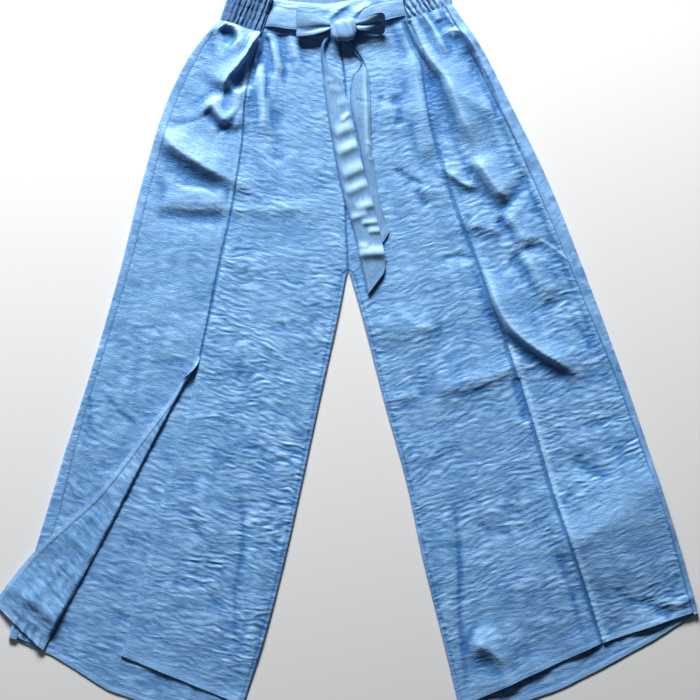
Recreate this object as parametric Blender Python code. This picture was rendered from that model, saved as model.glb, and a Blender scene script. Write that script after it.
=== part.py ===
"""Palazzo pants of crinkled crepe, laid flat with the front up.

The floor is z = 0, +Y runs from the hems to the waist, and +X points to the wearer's left. Each sewn
panel is a wall of cloth: a grid of points on one face, and the same grid moved through the wall. The tables
and the working are in millimetres, and MM brings the finished points to metres.
"""

import bpy
import numpy as np

MM = 0.001
MIDDLE = (-1.2, 0.5, 0.0)  # of the whole outline, brought to the origin

# Cloth
WALL = 1.0  # crepe
BAND_WALL = 2.0  # stiffened front band
TIE_WALL = 1.2  # tie, sewn double
SEAM = 0.3  # left between neighbouring pieces
QUIET = 4.4  # height of the upper layer where no fold crosses it
LOWEST = 2.7  # least height of the upper layer
SOFTNESS = 0.5  # how gently a trough flattens out on the layer below
SIDE_RISE = 1.2  # how much higher the cloth stands along its folded sides
SIDE_REACH = 22.0  # how far in from the side that rise reaches
EDGE_ROUND = 5.0  # how far in the inseam edge rounds down
# Points across that rounding: share of it out from its start, share of the height above the wall that is left
EDGE_STEPS = [(0.6, 0.8), (1.0, 0.1)]
FREE_EDGE = 0.75  # share of its height that a free edge loses as it settles on the layer below
FREE_REACH = 42.0  # how far in from the edge it does so
STEEPEST = 2.0  # most that a slope thickens a wall, seen from above
RUMPLE = 0.5  # height of the gentle waves that run across the legs
RUMPLE_LENGTH = 83.0  # from wave to wave down the leg
RUMPLE_TURN = 61.0  # how far across the leg the waves shift by one radian
RUMPLE_PATCHES = 0.37  # waves' strength comes and goes this many times as often as they do
RUMPLE_SLANT = 1.6  # shift of that coming and going across the leg

# Grids
ROWS = 30  # from waist to hem
ROW_CROWDING = 1.15  # above 1 brings the rows closer together near the waist
CLOSEST_ROWS = 0.3  # no closer than this share of the usual spacing
LINE_POINTS = 90  # along a leg's side, when measuring from it
PANEL_COLUMNS = 12
STRIP_COLUMNS = 3
CURL_COLUMNS = 5
FLOOR_COLUMNS = 4

# How far down the leg, as a share of its length
CROTCH = 0.335
SLIT_TOP = 0.515

# Outlines of the legs, from the waist to the hem: x, y
SIDE_FOLD = {
    "right": [(-178, 457), (-215, 415), (-251, 345), (-286, 233), (-321, 93), (-362, -47), (-398, -159),
              (-432, -271), (-473, -405)],
    "left": [(148, 479), (191, 415), (227, 345), (282, 233), (338, 93), (390, -47), (428, -159), (464, -271),
             (492, -370)],
}
SLIT_LINE = {
    "right": [(-118, 439), (-135, 384), (-142, 338), (-146, 285), (-159, 200), (-178, 114), (-205, -15),
              (-234, -135), (-257, -206), (-282, -313), (-316, -433)],
    "left": [(86, 456), (104, 405), (118, 314), (148, 209), (181, 120), (227, -6), (262, -111), (290, -208),
             (323, -304), (359, -415)],
}
CENTRE_SEAM = [(-9, 427), (-1, 352), (-1, 188), (2, 110)]
CENTRE_BACK = [(-9, 467.2), (-1, 352), (-1, 188), (2, 110)]
INSEAM = {
    "right": [(2, 110), (-12, 37), (-37, -75), (-61, -187), (-86, -299), (-115, -411), (-145, -503)],
    "left": [(2, 110), (23, 37), (52, -75), (83, -187), (107, -299), (135, -411), (158, -506)],
}

# The side seam lies on the front, this far in from the folded side: share down the leg, right leg, left leg
SIDE_SEAM = [
    (0.00, 6, 12),
    (0.08, 12, 18),
    (0.35, 13, 18),
    (0.50, 10, 15),
    (0.62, 9, 10),
    (0.80, 17, 7),
    (1.00, 12, 7),
]

# How far the back's hem shows past the front's: share across from the side fold to the inseam, right leg,
# left leg
BACK_HEM = [
    (0.00, 2, 2),
    (0.20, 10, 16),
    (0.45, 34, 26),
    (0.60, 36, 30),
    (0.80, 30, 26),
    (1.00, 25, 22),
]

# The right leg's front side panel is turned back on itself below the slit's top: x, y
TURN_LINE = [(-205, -15), (-223, -46), (-285, -163), (-326, -243), (-366, -317), (-424, -425)]
TURNED_EDGE = [(-205, -15), (-212, -30), (-275, -113), (-342, -200), (-388, -244), (-439, -292), (-492, -359)]
TURN_SPAN = 0.055  # share of the leg in which the flap rolls over
TURN_STEPS = 5  # rows in which it does
TURN_RADIUS = 1.8  # inside the roll
LEAST_TURN = 0.001  # share of the whole roll where the panel is flat
FLAP_COLUMNS = 6
FLAP_LEAST = 8.0  # narrowest part of the flap, at the slit's top
FLAP_REST = 0.8  # gap under the flap, away from the roll
FLAP_REACH = 16.0  # how far the roll holds the flap up
OVERHANG = 30.0  # how quickly the flap's tip comes down past the folded side

# Folds of the upper layer: where each starts and ends, the width of its flanks to the left and right of the
# way it runs, and its height, negative for a trough: x0, y0, x1, y1, left, right, height
FOLDS = [
    # right leg, side panel
    (-118, 441, -175, 354, 8, 24, 9),
    (-115, 412, -158, 356, 9, 9, -3),
    (-174, 449, -152, 424, 8, 8, -4),
    (-148, 366, -155, 306, 12, 12, 5),
    (-198, 331, -169, 299, 8, 8, -4),
    (-244, 303, -153, 236, 14, 11, 6),
    (-253, 290, -153, 227, 10, 9, -4),
    (-261, 211, -163, 205, 14, 14, 3),
    (-275, 183, -166, 180, 12, 12, -2),
    # right leg, centre panel
    (-130, 418, -122, 356, 9, 11, 4),
    (-110, 435, -108, 376, 8, 8, -2),
    (-97, 337, -96, 253, 10, 10, -2),
    (-159, -215, -169, -467, 14, 11, 5),
    # left leg, side panel
    (86, 458, 177, 279, 22, 8, 9),
    (118, 472, 131, 435, 8, 8, -3),
    (135, 463, 149, 410, 8, 8, -4),
    (139, 442, 170, 426, 8, 8, 3),
    (141, 257, 187, 232, 9, 9, 4),
    (138, 244, 184, 219, 8, 8, -3),
    (192, 253, 237, 201, 9, 12, 5),
    (164, 248, 232, 195, 9, 9, -4),
    (211, 183, 247, 136, 9, 9, -3),
    (229, 132, 278, 62, 10, 10, -3),
    (192, 94, 309, -26, 14, 14, 7),
    (211, 44, 351, -65, 11, 11, -4),
    (324, -159, 368, -190, 9, 9, -2),
    (411, -352, 458, -382, 9, 9, -2),
    # left leg, centre panel
    (88, 446, 118, 255, 12, 12, 5),
    (68, 356, 76, 306, 9, 9, -2),
    (86, 236, 114, 194, 9, 9, -2),
    (237, -41, 253, -110, 8, 8, -3),
    (178, -425, 226, -419, 11, 11, 4),
    (176, -442, 226, -450, 10, 10, -3),
    (223, -472, 260, -453, 14, 14, 5),
    (148, -195, 160, -349, 12, 10, 4),
]

# Waistband: lower and upper ends of the seams and folds of the elastic part, seen from above: x, y
BAND_LOW = {
    "fold_right": (-178, 457), "seam_right": (-118, 439), "seam_left": (86, 456), "fold_left": (148, 479),
}
BAND_HIGH = {
    "fold_right": (-162, 505), "seam_right": (-102, 488), "seam_left": (75, 505), "fold_left": (141, 528),
}
BAND_BOTTOM = [(-118, 439), (-9, 427), (86, 456)]  # straight between these
BAND_TOP = [(-102, 488), (-79, 484), (-30, 480), (-2, 484), (47, 493), (75, 505)]
BAND_DEPTH = 50.0  # from its lower to its upper edge
BAND_HEIGHT = 5.0  # of the front band's face above the floor
BAND_SWELL = 0.6  # how much higher it stands along its middle
BAND_TILT = 1.0  # how much lower its upper edge lies than its lower one
BAND_COLUMNS = 7  # on each side of the centre seam
BAND_ROWS = 5
GATHERS_ON_TOP = 10  # waves of the casing on each side of the front band
GATHERS_BELOW = 14  # waves across the back
GATHER_HEIGHT = 1.1
GATHER_FADE = 0.25  # share of each side's gathers that dies away towards the folded side
GATHERS_BELOW_SHARE = 0.4  # height of the back's gathers as a share of the others
POINTS_PER_GATHER = 4
# How the gathers' spacing wanders: size in radians, waves along the band, where it starts
GATHER_DRIFT = [(0.35, 1.7, 0.15), (0.20, 3.9, 0.60)]
GATHER_UNEVEN = (0.18, 2.3, 0.3)  # how their height wanders, in the same way
CASING_ROWS = 3
CASING_WALL = 1.2

# Tie. Each stretch of it is a ribbon: one edge x, y; the other edge x, y; height of each edge; height of the
# fold along its middle. Straps lie on the front band, and their heights are above the floor.
STRAP_RIGHT = [
    (-114, 448, -103.8, 479, 5.9, 5.9, 0.5),
    (-101, 447, -96, 476, 6.4, 7.2, 0.8),
    (-84, 444, -82, 472, 6.2, 7.0, 0.6),
    (-60, 442, -60, 466, 6.1, 6.1, 0.3),
    (-36, 440, -36, 455, 6.1, 6.1, 0.3),
    (-23, 439, -23, 449, 6.1, 6.1, 0.3),
]
STRAP_LEFT = [
    (13, 442, 13, 451, 6.2, 6.6, 0.3),
    (22, 446, 20, 460, 6.2, 7.4, 0.3),
    (34, 451, 32, 475, 6.1, 8.0, 0.4),
    (48, 454, 46, 481, 6.1, 7.2, 0.6),
    (65, 459, 62, 484, 6.6, 6.8, 0.6),
    (82, 463, 78, 486, 5.9, 5.9, 0.5),
]
# Tails lie down the front from the knot, and their heights are above the cloth below.
TAIL_LONG = [
    (-27, 438, -23, 433, 2.6, 2.6, 0.6),
    (-33, 431, -27, 428, 2.6, 2.6, 1.2),
    (-36, 420, -29, 419, 2.0, 2.0, 2.6),
    (-35, 404, -24, 402, 1.2, 1.2, 3.6),
    (-34, 388, -13, 384, 1.1, 1.1, 3.0),
    (-32, 373, -3, 373, 1.0, 1.2, 2.0),
    (-30, 351, 2, 348, 1.0, 1.5, 1.2),
    (-26, 316, 9, 316, 1.0, 2.2, 1.2),
    (-20, 279, 17, 279, 1.0, 2.6, 1.4),
    (-12, 244, 25, 244, 1.0, 2.8, 1.2),
    (-2, 207, 36, 207, 1.0, 2.8, 1.2),
    (8, 176, 43, 176, 1.0, 2.8, 1.2),
    (16, 141, 52, 141, 1.0, 2.2, 1.2),
    (22, 110, 54, 115, 1.0, 1.2, 1.0),
    (28, 73, 54, 98, 0.9, 0.9, 0.4),
]
TAIL_SHORT = [
    (-4, 424, 6, 424, 3.4, 3.4, 1.0),
    (4, 419, 13, 422, 2.6, 2.8, 2.0),
    (13, 409, 20, 413, 1.6, 1.6, 2.5),
    (22, 395, 30, 398, 1.0, 1.0, 2.5),
    (23, 378, 32, 380, 0.8, 0.8, 2.0),
    (22, 345, 33, 345, 0.8, 0.8, 1.6),
    (22, 290, 35, 290, 0.8, 0.8, 0.8),
    (23, 237, 41, 237, 0.8, 0.8, 0.4),
    (27, 205, 47, 205, 0.8, 0.8, 0.3),
    (34, 172, 55, 174, 0.8, 0.8, 0.3),
    (40, 152, 58, 159, 0.8, 0.8, 0.3),
    (46, 144, 51, 146, 0.8, 0.8, 0.2),
]
# Loops of the bow: middle of the end at the knot x, y; of the far end x, y; half width at the knot, at the
# far end; lowest and highest face at the knot, at the far end; turn about the loop's length in degrees
LOOPS = {
    "bow_loop_right": (-22.4, 447, -69, 451, 6, 17, 9.5, 14.5, 8.2, 15.0, 4),
    "bow_loop_left": (12.4, 447, 49, 449, 6, 12, 9.5, 14.5, 9.5, 19.0, -24),
}
LOOP_COLUMNS = 6
LOOP_ROWS = 5  # along each layer of a loop
LOOP_BEND = 9  # round its far end
KNOT = (-5, 443.5, 13.9, 17.0, 18.5, 7.4)  # middle x, y, z; half sizes along x, y, z
KNOT_SQUARENESS = 0.68  # 1 is round, and less is squarer
KNOT_WRAPS = 3
KNOT_GROOVE = 0.06  # depth of the grooves between the wraps, as a share of the knot's girth
KNOT_RINGS = 16
KNOT_SIDES = 24
RIBBON_COLUMNS = 6
STRAP_ROWS = 12
TAIL_ROWS = 22

SHARP_ANGLE = 50.0  # edges that turn more are drawn sharp

# Finishes: colour, roughness
CREPE = ((0.245, 0.455, 0.775, 1.0), 0.72)
CREPE_BACK = ((0.190, 0.370, 0.660, 1.0), 0.75)
TIE = ((0.330, 0.540, 0.800, 1.0), 0.48)


def along(points, shares):
    """Places at the given shares of the length of the smooth curve through the points."""
    p = np.array(points, float)
    p = np.vstack([2 * p[0] - p[1], p, 2 * p[-1] - p[-2]])
    t = np.linspace(0, 1, 12, endpoint=False)[:, None]
    spans = [
        0.5 * (2 * b + (c - a) * t + (2 * a - 5 * b + 4 * c - d) * t**2 + (3 * b - a - 3 * c + d) * t**3)
        for a, b, c, d in zip(p, p[1:], p[2:], p[3:])
    ]
    dense = np.vstack(spans + [p[-2:-1]])
    length = np.append(0, np.cumsum(np.linalg.norm(np.diff(dense, axis=0), axis=1)))
    wanted = np.asarray(shares) * length[-1]
    return np.stack([np.interp(wanted, length, column) for column in dense.T], axis=-1)


def column(table, share, index):
    """One column of a table, read between its rows at the given shares."""
    rows = np.array(table, float)
    return np.interp(share, rows[:, 0], rows[:, index])


def distance_in(side, x, y):
    """How far a place lies inside a leg's folded side; negative outside it."""
    line = along(SIDE_FOLD[side], np.linspace(0, 1, LINE_POINTS))
    gap = np.hypot(x[..., None] - line[:, 0], y[..., None] - line[:, 1])
    nearest = gap.argmin(axis=-1)
    ahead = line[np.minimum(nearest + 1, LINE_POINTS - 1)] - line[np.maximum(nearest - 1, 0)]
    cross = ahead[..., 0] * (y - line[nearest, 1]) - ahead[..., 1] * (x - line[nearest, 0])
    sign = 1 if side == "right" else -1
    return sign * cross / np.hypot(ahead[..., 0], ahead[..., 1])


def folds(x, y):
    """Sum of the folds at a place: each fades towards its two ends and away from its line."""
    total = np.zeros_like(x)
    for x0, y0, x1, y1, left, right, height in FOLDS:
        run = np.hypot(x1 - x0, y1 - y0)
        ux, uy = (x1 - x0) / run, (y1 - y0) / run
        t = ((x - x0) * ux + (y - y0) * uy) / run
        off = (y - y0) * ux - (x - x0) * uy
        width = np.where(off > 0, left, right)
        ends = np.clip(1 - (2 * t - 1) ** 4, 0, 1)
        total += height * ends * np.exp(-((off / width) ** 2))
    return total


def rumple(x, y):
    """Gentle waves of the crinkled cloth."""
    wave = 2 * np.pi * y / RUMPLE_LENGTH
    strength = np.cos(RUMPLE_PATCHES * wave - RUMPLE_SLANT * x / RUMPLE_TURN)
    return RUMPLE * np.sin(wave + np.sin(x / RUMPLE_TURN)) * strength


def top(side, x, y):
    """Height of the upper layer's face at a place on a leg."""
    rise = SIDE_RISE * np.exp(-((np.maximum(distance_in(side, x, y), 0) / SIDE_REACH) ** 2))
    over = (QUIET + rise + folds(x, y) + rumple(x, y) - LOWEST) / SOFTNESS
    return LOWEST + SOFTNESS * np.logaddexp(0, over)


def steepness(side, x, y):
    """How much thicker a sloping wall is when measured straight down."""
    step = 1.0
    slope_x = (top(side, x + step, y) - top(side, x - step, y)) / (2 * step)
    slope_y = (top(side, x, y + step) - top(side, x, y - step)) / (2 * step)
    return np.minimum(np.sqrt(1 + slope_x**2 + slope_y**2), STEEPEST)


def stations(side):
    """Shares down the leg at which it is drawn, with rows at the crotch, the slit's top and in the roll."""
    rows = np.linspace(0, 1, ROWS) ** ROW_CROWDING
    wanted = [CROTCH, SLIT_TOP]
    if side == "right":
        wanted += [SLIT_TOP + TURN_SPAN * step / TURN_STEPS for step in range(1, TURN_STEPS + 1)]
    keep = [r for r in rows if min(abs(r - w) for w in wanted) > CLOSEST_ROWS / ROWS]
    return np.sort(np.array(keep + wanted))


def lines(side, centre=CENTRE_SEAM):
    """The leg's three lines at its stations: side fold, slit line, and centre seam with inseam."""
    v = stations(side)
    upper = along(centre, np.minimum(v / CROTCH, 1))
    lower = along(INSEAM[side], np.maximum(v - CROTCH, 0) / (1 - CROTCH))
    inner = np.where((v < CROTCH)[:, None], upper, lower)
    return v, along(SIDE_FOLD[side], v), along(SLIT_LINE[side], v), inner


def across(start, end, inset_start, inset_end, count):
    """Straight rows of places from one line to another, stopping short of each by an inset."""
    span = end - start
    length = np.linalg.norm(span, axis=1, keepdims=True)
    first = start + span / length * np.reshape(inset_start, (-1, 1))
    last = end - span / length * np.reshape(inset_end, (-1, 1))
    share = np.linspace(0, 1, count)[None, :, None]
    return first[:, None] * (1 - share) + last[:, None] * share


def side_seam(side, v, fold, slit, shift):
    """Places on the side seam, moved in from it by a shift, and the way in from the folded side."""
    inward = slit - fold
    inward /= np.linalg.norm(inward, axis=1, keepdims=True)
    inset = column(SIDE_SEAM, v, 1 if side == "right" else 2) + shift
    return fold + inward * inset[:, None], inward, inset


def material(name, finish):
    """A cloth material of one colour and roughness."""
    colour, roughness = finish
    made = bpy.data.materials.new(name)
    made.use_nodes = True
    shader = made.node_tree.nodes["Principled BSDF"]
    shader.inputs["Base Color"].default_value = colour
    shader.inputs["Roughness"].default_value = roughness
    shader.inputs["Metallic"].default_value = 0.0
    made.diffuse_color = colour
    return made


def add_object(name, points, faces, finish):
    """A closed mesh object with smooth shading and its own material, its faces turned outwards."""
    corners = points[np.array(faces)]
    volume = np.einsum("ij,ij->i", corners[:, 0], np.cross(corners[:, 1], corners[:, 2])).sum()
    if volume < 0:
        faces = [face[::-1] for face in faces]
    mesh = bpy.data.meshes.new(name)
    mesh.from_pydata(((points - MIDDLE) * MM).tolist(), [], [tuple(int(i) for i in face) for face in faces])
    mesh.shade_smooth()
    mesh.set_sharp_from_angle(angle=np.radians(SHARP_ANGLE))
    mesh.materials.append(material(name + "_cloth", finish))
    made = bpy.data.objects.new(name, mesh)
    bpy.context.collection.objects.link(made)
    return made


def shell(name, face, other, finish):
    """A wall between two matching grids of points, closed round its edge."""
    rows, columns = face.shape[:2]
    points = np.concatenate([face.reshape(-1, 3), other.reshape(-1, 3)])
    index = np.arange(rows * columns).reshape(rows, columns)
    faces = []
    for r in range(rows - 1):
        for c in range(columns - 1):
            a, b, d, e = index[r, c], index[r, c + 1], index[r + 1, c + 1], index[r + 1, c]
            faces += [(a, b, d), (a, d, e)]
    under = [tuple(i + rows * columns for i in f[::-1]) for f in faces]
    edge = [*index[0, :-1], *index[:-1, -1], *index[-1, :0:-1], *index[:0:-1, 0]]
    rim = []
    for a, b in zip(edge, edge[1:] + edge[:1]):
        low_a, low_b = a + rows * columns, b + rows * columns
        rim += [(b, a, low_a), (b, low_a, low_b)]
    return add_object(name, points, faces + under + rim, finish)


def thicken(grid, wall):
    """The grid's points moved through the wall, against its normals."""
    down = np.gradient(grid, axis=0)
    over = np.gradient(grid, axis=1)
    normal = np.cross(down, over)
    normal /= np.maximum(np.linalg.norm(normal, axis=2, keepdims=True), 1e-9)
    return grid - wall * normal


def settled(side, v, plan, open_slit):
    """Share of its height that a panel keeps near its hem, and near its edge along an open slit."""
    length = np.linalg.norm(np.diff(plan, axis=0), axis=2).mean(axis=1).sum()
    near = np.exp(-(((1 - v) * length / FREE_REACH) ** 2))[:, None]
    if open_slit:
        from_slit = np.linalg.norm(plan - plan[:, :1], axis=2)
        below = np.clip((v - SLIT_TOP) / TURN_SPAN, 0, 1)[:, None]
        near = np.maximum(near, below * np.exp(-((from_slit / FREE_REACH) ** 2)))
    from_side = np.maximum(distance_in(side, plan[..., 0], plan[..., 1]), 0)
    return 1 - FREE_EDGE * near * (1 - np.exp(-((from_side / FREE_REACH) ** 2)))


def laid(name, side, plan, finish, kept):
    """A panel that lies on the layer below: its face follows the folds, and its wall hangs under it."""
    x, y = plan[..., 0], plan[..., 1]
    z = top(side, x, y)
    wall = WALL * steepness(side, x, y)
    lowest = WALL + SEAM + wall
    z = lowest + (z - lowest) * kept
    face = np.stack([x, y, z], axis=-1)
    other = np.stack([x, y, np.maximum(z - wall, WALL + SEAM)], axis=-1)
    return shell(name, face, other, finish)


def centre_panel(side):
    """Front centre panel, from the slit line to the centre seam and inseam."""
    v, _, slit, inner = lines(side)
    below = v > CROTCH
    plan = across(slit, inner, SEAM / 2, np.where(below, EDGE_ROUND, SEAM / 2), PANEL_COLUMNS)
    span = inner - slit
    span /= np.linalg.norm(span, axis=1, keepdims=True)
    last = plan[:, -1].copy()
    plan[~below, -1] = last[~below] - span[~below] * EDGE_ROUND
    kept = np.ones(plan.shape[:2])
    for share, left in EDGE_STEPS:
        out = np.where(below, EDGE_ROUND * share, -EDGE_ROUND * (1 - share))
        plan = np.concatenate([plan, (last + span * out[:, None])[:, None]], axis=1)
        kept = np.concatenate([kept, np.where(below, left, 1.0)[:, None]], axis=1)
    laid("front_centre_" + side, side, plan, CREPE, kept * settled(side, v, plan, side == "right"))


def side_panel_left():
    """Left front side panel, from the side seam to the closed slit."""
    v, fold, slit, _ = lines("left")
    seam, _, _ = side_seam("left", v, fold, slit, SEAM / 2)
    plan = across(seam, slit, 0, SEAM / 2, PANEL_COLUMNS)
    laid("front_side_left", "left", plan, CREPE, settled("left", v, plan, False))


def side_panel_right():
    """Right front side panel, which rolls over at the slit's top and lies turned back below it."""
    v, fold, slit, _ = lines("right")
    open_share = np.clip((v - SLIT_TOP) / (1 - SLIT_TOP), 0, 1)
    turn = np.pi * np.clip((v - SLIT_TOP) / TURN_SPAN, LEAST_TURN, 1)
    turned = ((1 - np.cos(turn)) / 2)[:, None]
    roll = np.pi * TURN_RADIUS
    line, edge = along(TURN_LINE, open_share), along(TURNED_EDGE, open_share)
    seam, inward, _ = side_seam("right", v, fold, slit, SEAM / 2)
    start_open = line - inward * (TURN_RADIUS + WALL)
    start_shut = slit - inward * (roll + FLAP_LEAST + SEAM / 2)
    start = start_shut * (1 - turned) + start_open * turned

    main = across(seam, start, 0, 0, PANEL_COLUMNS)
    main = np.dstack([main, top("right", main[..., 0], main[..., 1])])

    radius = roll / turn
    share = np.linspace(0, 1, CURL_COLUMNS + 1)[1:]
    angle = turn[:, None] * share
    out = radius[:, None] * np.sin(angle)
    up = radius[:, None] * (1 - np.cos(angle))
    curl_plan = start[:, None] + inward[:, None] * out[..., None]
    curl = np.dstack([curl_plan, main[:, -1:, 2] + up])

    flat_width = np.linalg.norm(edge - line, axis=1)
    width = np.maximum(flat_width, FLAP_LEAST)
    back = (edge - line) / np.maximum(flat_width, 1e-6)[:, None]
    back[flat_width < FLAP_LEAST] = back[flat_width >= FLAP_LEAST][0]
    heading = inward * (1 - turned) + back * turned
    share = np.linspace(0, 1, FLAP_COLUMNS + 1)[1:]
    flap_plan = curl_plan[:, -1:] + heading[:, None] * (width[:, None] * share)[..., None]
    reach = width[:, None] * share
    support = resting_height(flap_plan[..., 0], flap_plan[..., 1])
    held = up[:, -1:] * np.exp(-((reach / FLAP_REACH) ** 2))
    stand = reach * np.sin(turn)[:, None]
    lying = support + (FLAP_REST + held) * turned + stand
    flap = np.dstack([flap_plan, lying])
    grid = np.concatenate([main, curl, flap], axis=1)
    shell("front_side_right", grid, thicken(grid, WALL), CREPE)


def resting_height(x, y):
    """Height that the turned flap rests on: the leg, and the floor past its folded side."""
    inside = distance_in("right", x, y)
    fall = np.exp(-((np.minimum(inside, 0) / OVERHANG) ** 2))
    return SEAM + (top("right", x, y) - SEAM) * fall


def back_panel(side):
    """Back panel, flat on the floor, with its side folded over to the side seam on the front."""
    v, fold, slit, inner = lines(side, CENTRE_BACK)
    seam, span, inset = side_seam(side, v, fold, slit, -SEAM / 2)
    radius = top(side, seam[:, 0], seam[:, 1]) / 2
    far = np.maximum(inset, radius + SEAM)
    share = np.linspace(0, 1, STRIP_COLUMNS)
    strip = far[:, None] * (1 - share) + radius[:, None] * share
    strip_plan = fold[:, None] + span[:, None] * strip[..., None]
    strip_z = top(side, strip_plan[..., 0], strip_plan[..., 1])
    radius = strip_z[:, -1] / 2

    share = np.linspace(0, 1, FLOOR_COLUMNS + 1)[1:, None]
    last = inner - (inner - fold) / np.linalg.norm(inner - fold, axis=1, keepdims=True) * SEAM / 2
    angle = np.radians(np.linspace(90, 270, CURL_COLUMNS + 2)[1:])
    walls = []
    for inset_by in (0, WALL):
        curl = radius[:, None] + (radius[:, None] - inset_by) * np.cos(angle)
        curl_z = radius[:, None] + (radius[:, None] - inset_by) * np.sin(angle)
        reach = np.concatenate([strip, curl], axis=1)[..., None]
        plan = fold[:, None] + span[:, None] * reach
        floor = plan[:, -1:] * (1 - share) + last[:, None] * share
        z = np.concatenate([strip_z - inset_by, curl_z, 0 * floor[..., 0] + inset_by], axis=1)
        walls.append(np.dstack([np.concatenate([plan, floor], axis=1), z]))
    face, other = walls

    down = fold[-1] - fold[-4]
    down /= np.linalg.norm(down)
    width = np.linalg.norm(inner[-1] - fold[-1])
    across_hem = np.linalg.norm(face[-1, :, :2] - fold[-1], axis=1) / width
    drop = column(BACK_HEM, across_hem, 1 if side == "right" else 2)
    face = np.concatenate([face, face[-1:] + hem_step(down, drop)])
    other = np.concatenate([other, other[-1:] + hem_step(down, drop)])
    shell("back_" + side, face, other, CREPE_BACK)


def hem_step(down, drop):
    """How far each place of the last row moves down the leg to the back's hem."""
    return np.stack([down[0] * drop, down[1] * drop, np.zeros_like(drop)], axis=-1)[None]


def front_band():
    """Flat, stiffened front of the waistband."""
    low = np.concatenate([np.linspace(BAND_BOTTOM[0], BAND_BOTTOM[1], BAND_COLUMNS + 1),
                          np.linspace(BAND_BOTTOM[1], BAND_BOTTOM[2], BAND_COLUMNS + 1)[1:]])
    columns = len(low)
    high = along(BAND_TOP, np.linspace(0, 1, columns))
    share = np.linspace(0, 1, BAND_ROWS)[:, None, None]
    trim = SEAM / np.linalg.norm(high - low, axis=1).mean()
    plan = low + (high - low) * (trim + share * (1 - trim))
    ends = SEAM * np.cos(np.linspace(0, np.pi, columns))
    plan = plan + np.stack([ends, np.zeros_like(ends)], axis=-1)
    swell = BAND_SWELL * np.sin(np.pi * share[..., 0]) * np.ones(columns)
    z = BAND_HEIGHT + swell - BAND_TILT * (share[..., 0] - 0.5)
    face = np.dstack([plan, z])
    shell("waistband_front", face, face - (0, 0, BAND_WALL), CREPE)


def elastic_band():
    """Elastic casing: gathered beside the front band, folded round the sides, gathered across the back."""
    share = np.linspace(SEAM / BAND_DEPTH, 1, CASING_ROWS)[:, None]
    place = {}
    for key, low in BAND_LOW.items():
        place[key] = np.array(low) * (1 - share) + np.array(BAND_HIGH[key]) * share
    radius = (QUIET + SIDE_RISE) / 2
    faces, others = [], []
    for side, waves in (("right", -1), ("left", 1)):
        seam, fold = place["seam_" + side], place["fold_" + side]
        span = seam - fold
        length = np.linalg.norm(span, axis=1, keepdims=True)
        span = span / length
        count = GATHERS_ON_TOP * POINTS_PER_GATHER
        s = np.linspace(0, 1, count + 1)
        reach = radius + (length - radius - SEAM) * s
        wave = gather(s, GATHERS_ON_TOP) * np.minimum(1, s / GATHER_FADE)
        z = 2 * radius + (GATHER_HEIGHT * wave)[None] + 0 * reach
        plan = fold[:, None] + span[:, None] * reach[..., None]
        on_top = np.dstack([plan, z]), np.dstack([plan, z - CASING_WALL * casing_slope(wave, reach)])
        angle = np.radians(np.linspace(90, 270, CURL_COLUMNS + 2))[1:]
        curls = []
        for r in (radius, radius - CASING_WALL):
            reach = radius + r * np.cos(angle)[None] + 0 * length
            height = radius + r * np.sin(angle)[None] + 0 * length
            curls.append(np.dstack([fold[:, None] + span[:, None] * reach[..., None], height]))
        faces.append(np.concatenate([on_top[0][:, ::-1], curls[0]], axis=1))
        others.append(np.concatenate([on_top[1][:, ::-1], curls[1]], axis=1))
    start, end = faces[0][:, -1:], faces[1][:, -1:]
    s = np.linspace(0, 1, GATHERS_BELOW * POINTS_PER_GATHER + 2)[1:-1]
    below = start + (end - start) * s[None, :, None]
    wave = gather(s, GATHERS_BELOW) * np.sin(np.pi * s)
    raised = CASING_WALL + GATHERS_BELOW_SHARE * GATHER_HEIGHT * (1 + wave)
    above = below + np.stack([0 * s, 0 * s, raised], axis=-1)[None]
    face = np.concatenate([faces[0], below, faces[1][:, ::-1]], axis=1)
    other = np.concatenate([others[0], above, others[1][:, ::-1]], axis=1)
    shell("waistband_elastic", face, other, CREPE_BACK)


def gather(s, waves):
    """Waves of uneven width and height along a share of a length."""
    drift = sum(size * np.sin(2 * np.pi * (turns * s + start)) for size, turns, start in GATHER_DRIFT)
    size, turns, start = GATHER_UNEVEN
    return np.cos(2 * np.pi * waves * s + drift) * (1 - size + size * np.sin(2 * np.pi * (turns * s + start)))


def casing_slope(wave, reach):
    """How much thicker the casing's sloping wall is when measured straight down."""
    slope = np.gradient(GATHER_HEIGHT * wave) / np.abs(np.gradient(reach, axis=1))
    return np.minimum(np.sqrt(1 + slope**2), STEEPEST)


def ribbon(name, table, count, lying_on=None):
    """A stretch of the tie, on its heights above the floor or above what it lies on."""
    rows = along(table, np.linspace(0, 1, count))
    share = np.linspace(0, 1, RIBBON_COLUMNS)
    x = rows[:, 0:1] * (1 - share) + rows[:, 2:3] * share
    y = rows[:, 1:2] * (1 - share) + rows[:, 3:4] * share
    under = rows[:, 4:5] * (1 - share) + rows[:, 5:6] * share + rows[:, 6:7] * np.sin(np.pi * share)
    if lying_on is not None:
        under = under + lying_on("right", x, y)
    shell(name, np.dstack([x, y, under + TIE_WALL]), np.dstack([x, y, under]), TIE)


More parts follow.
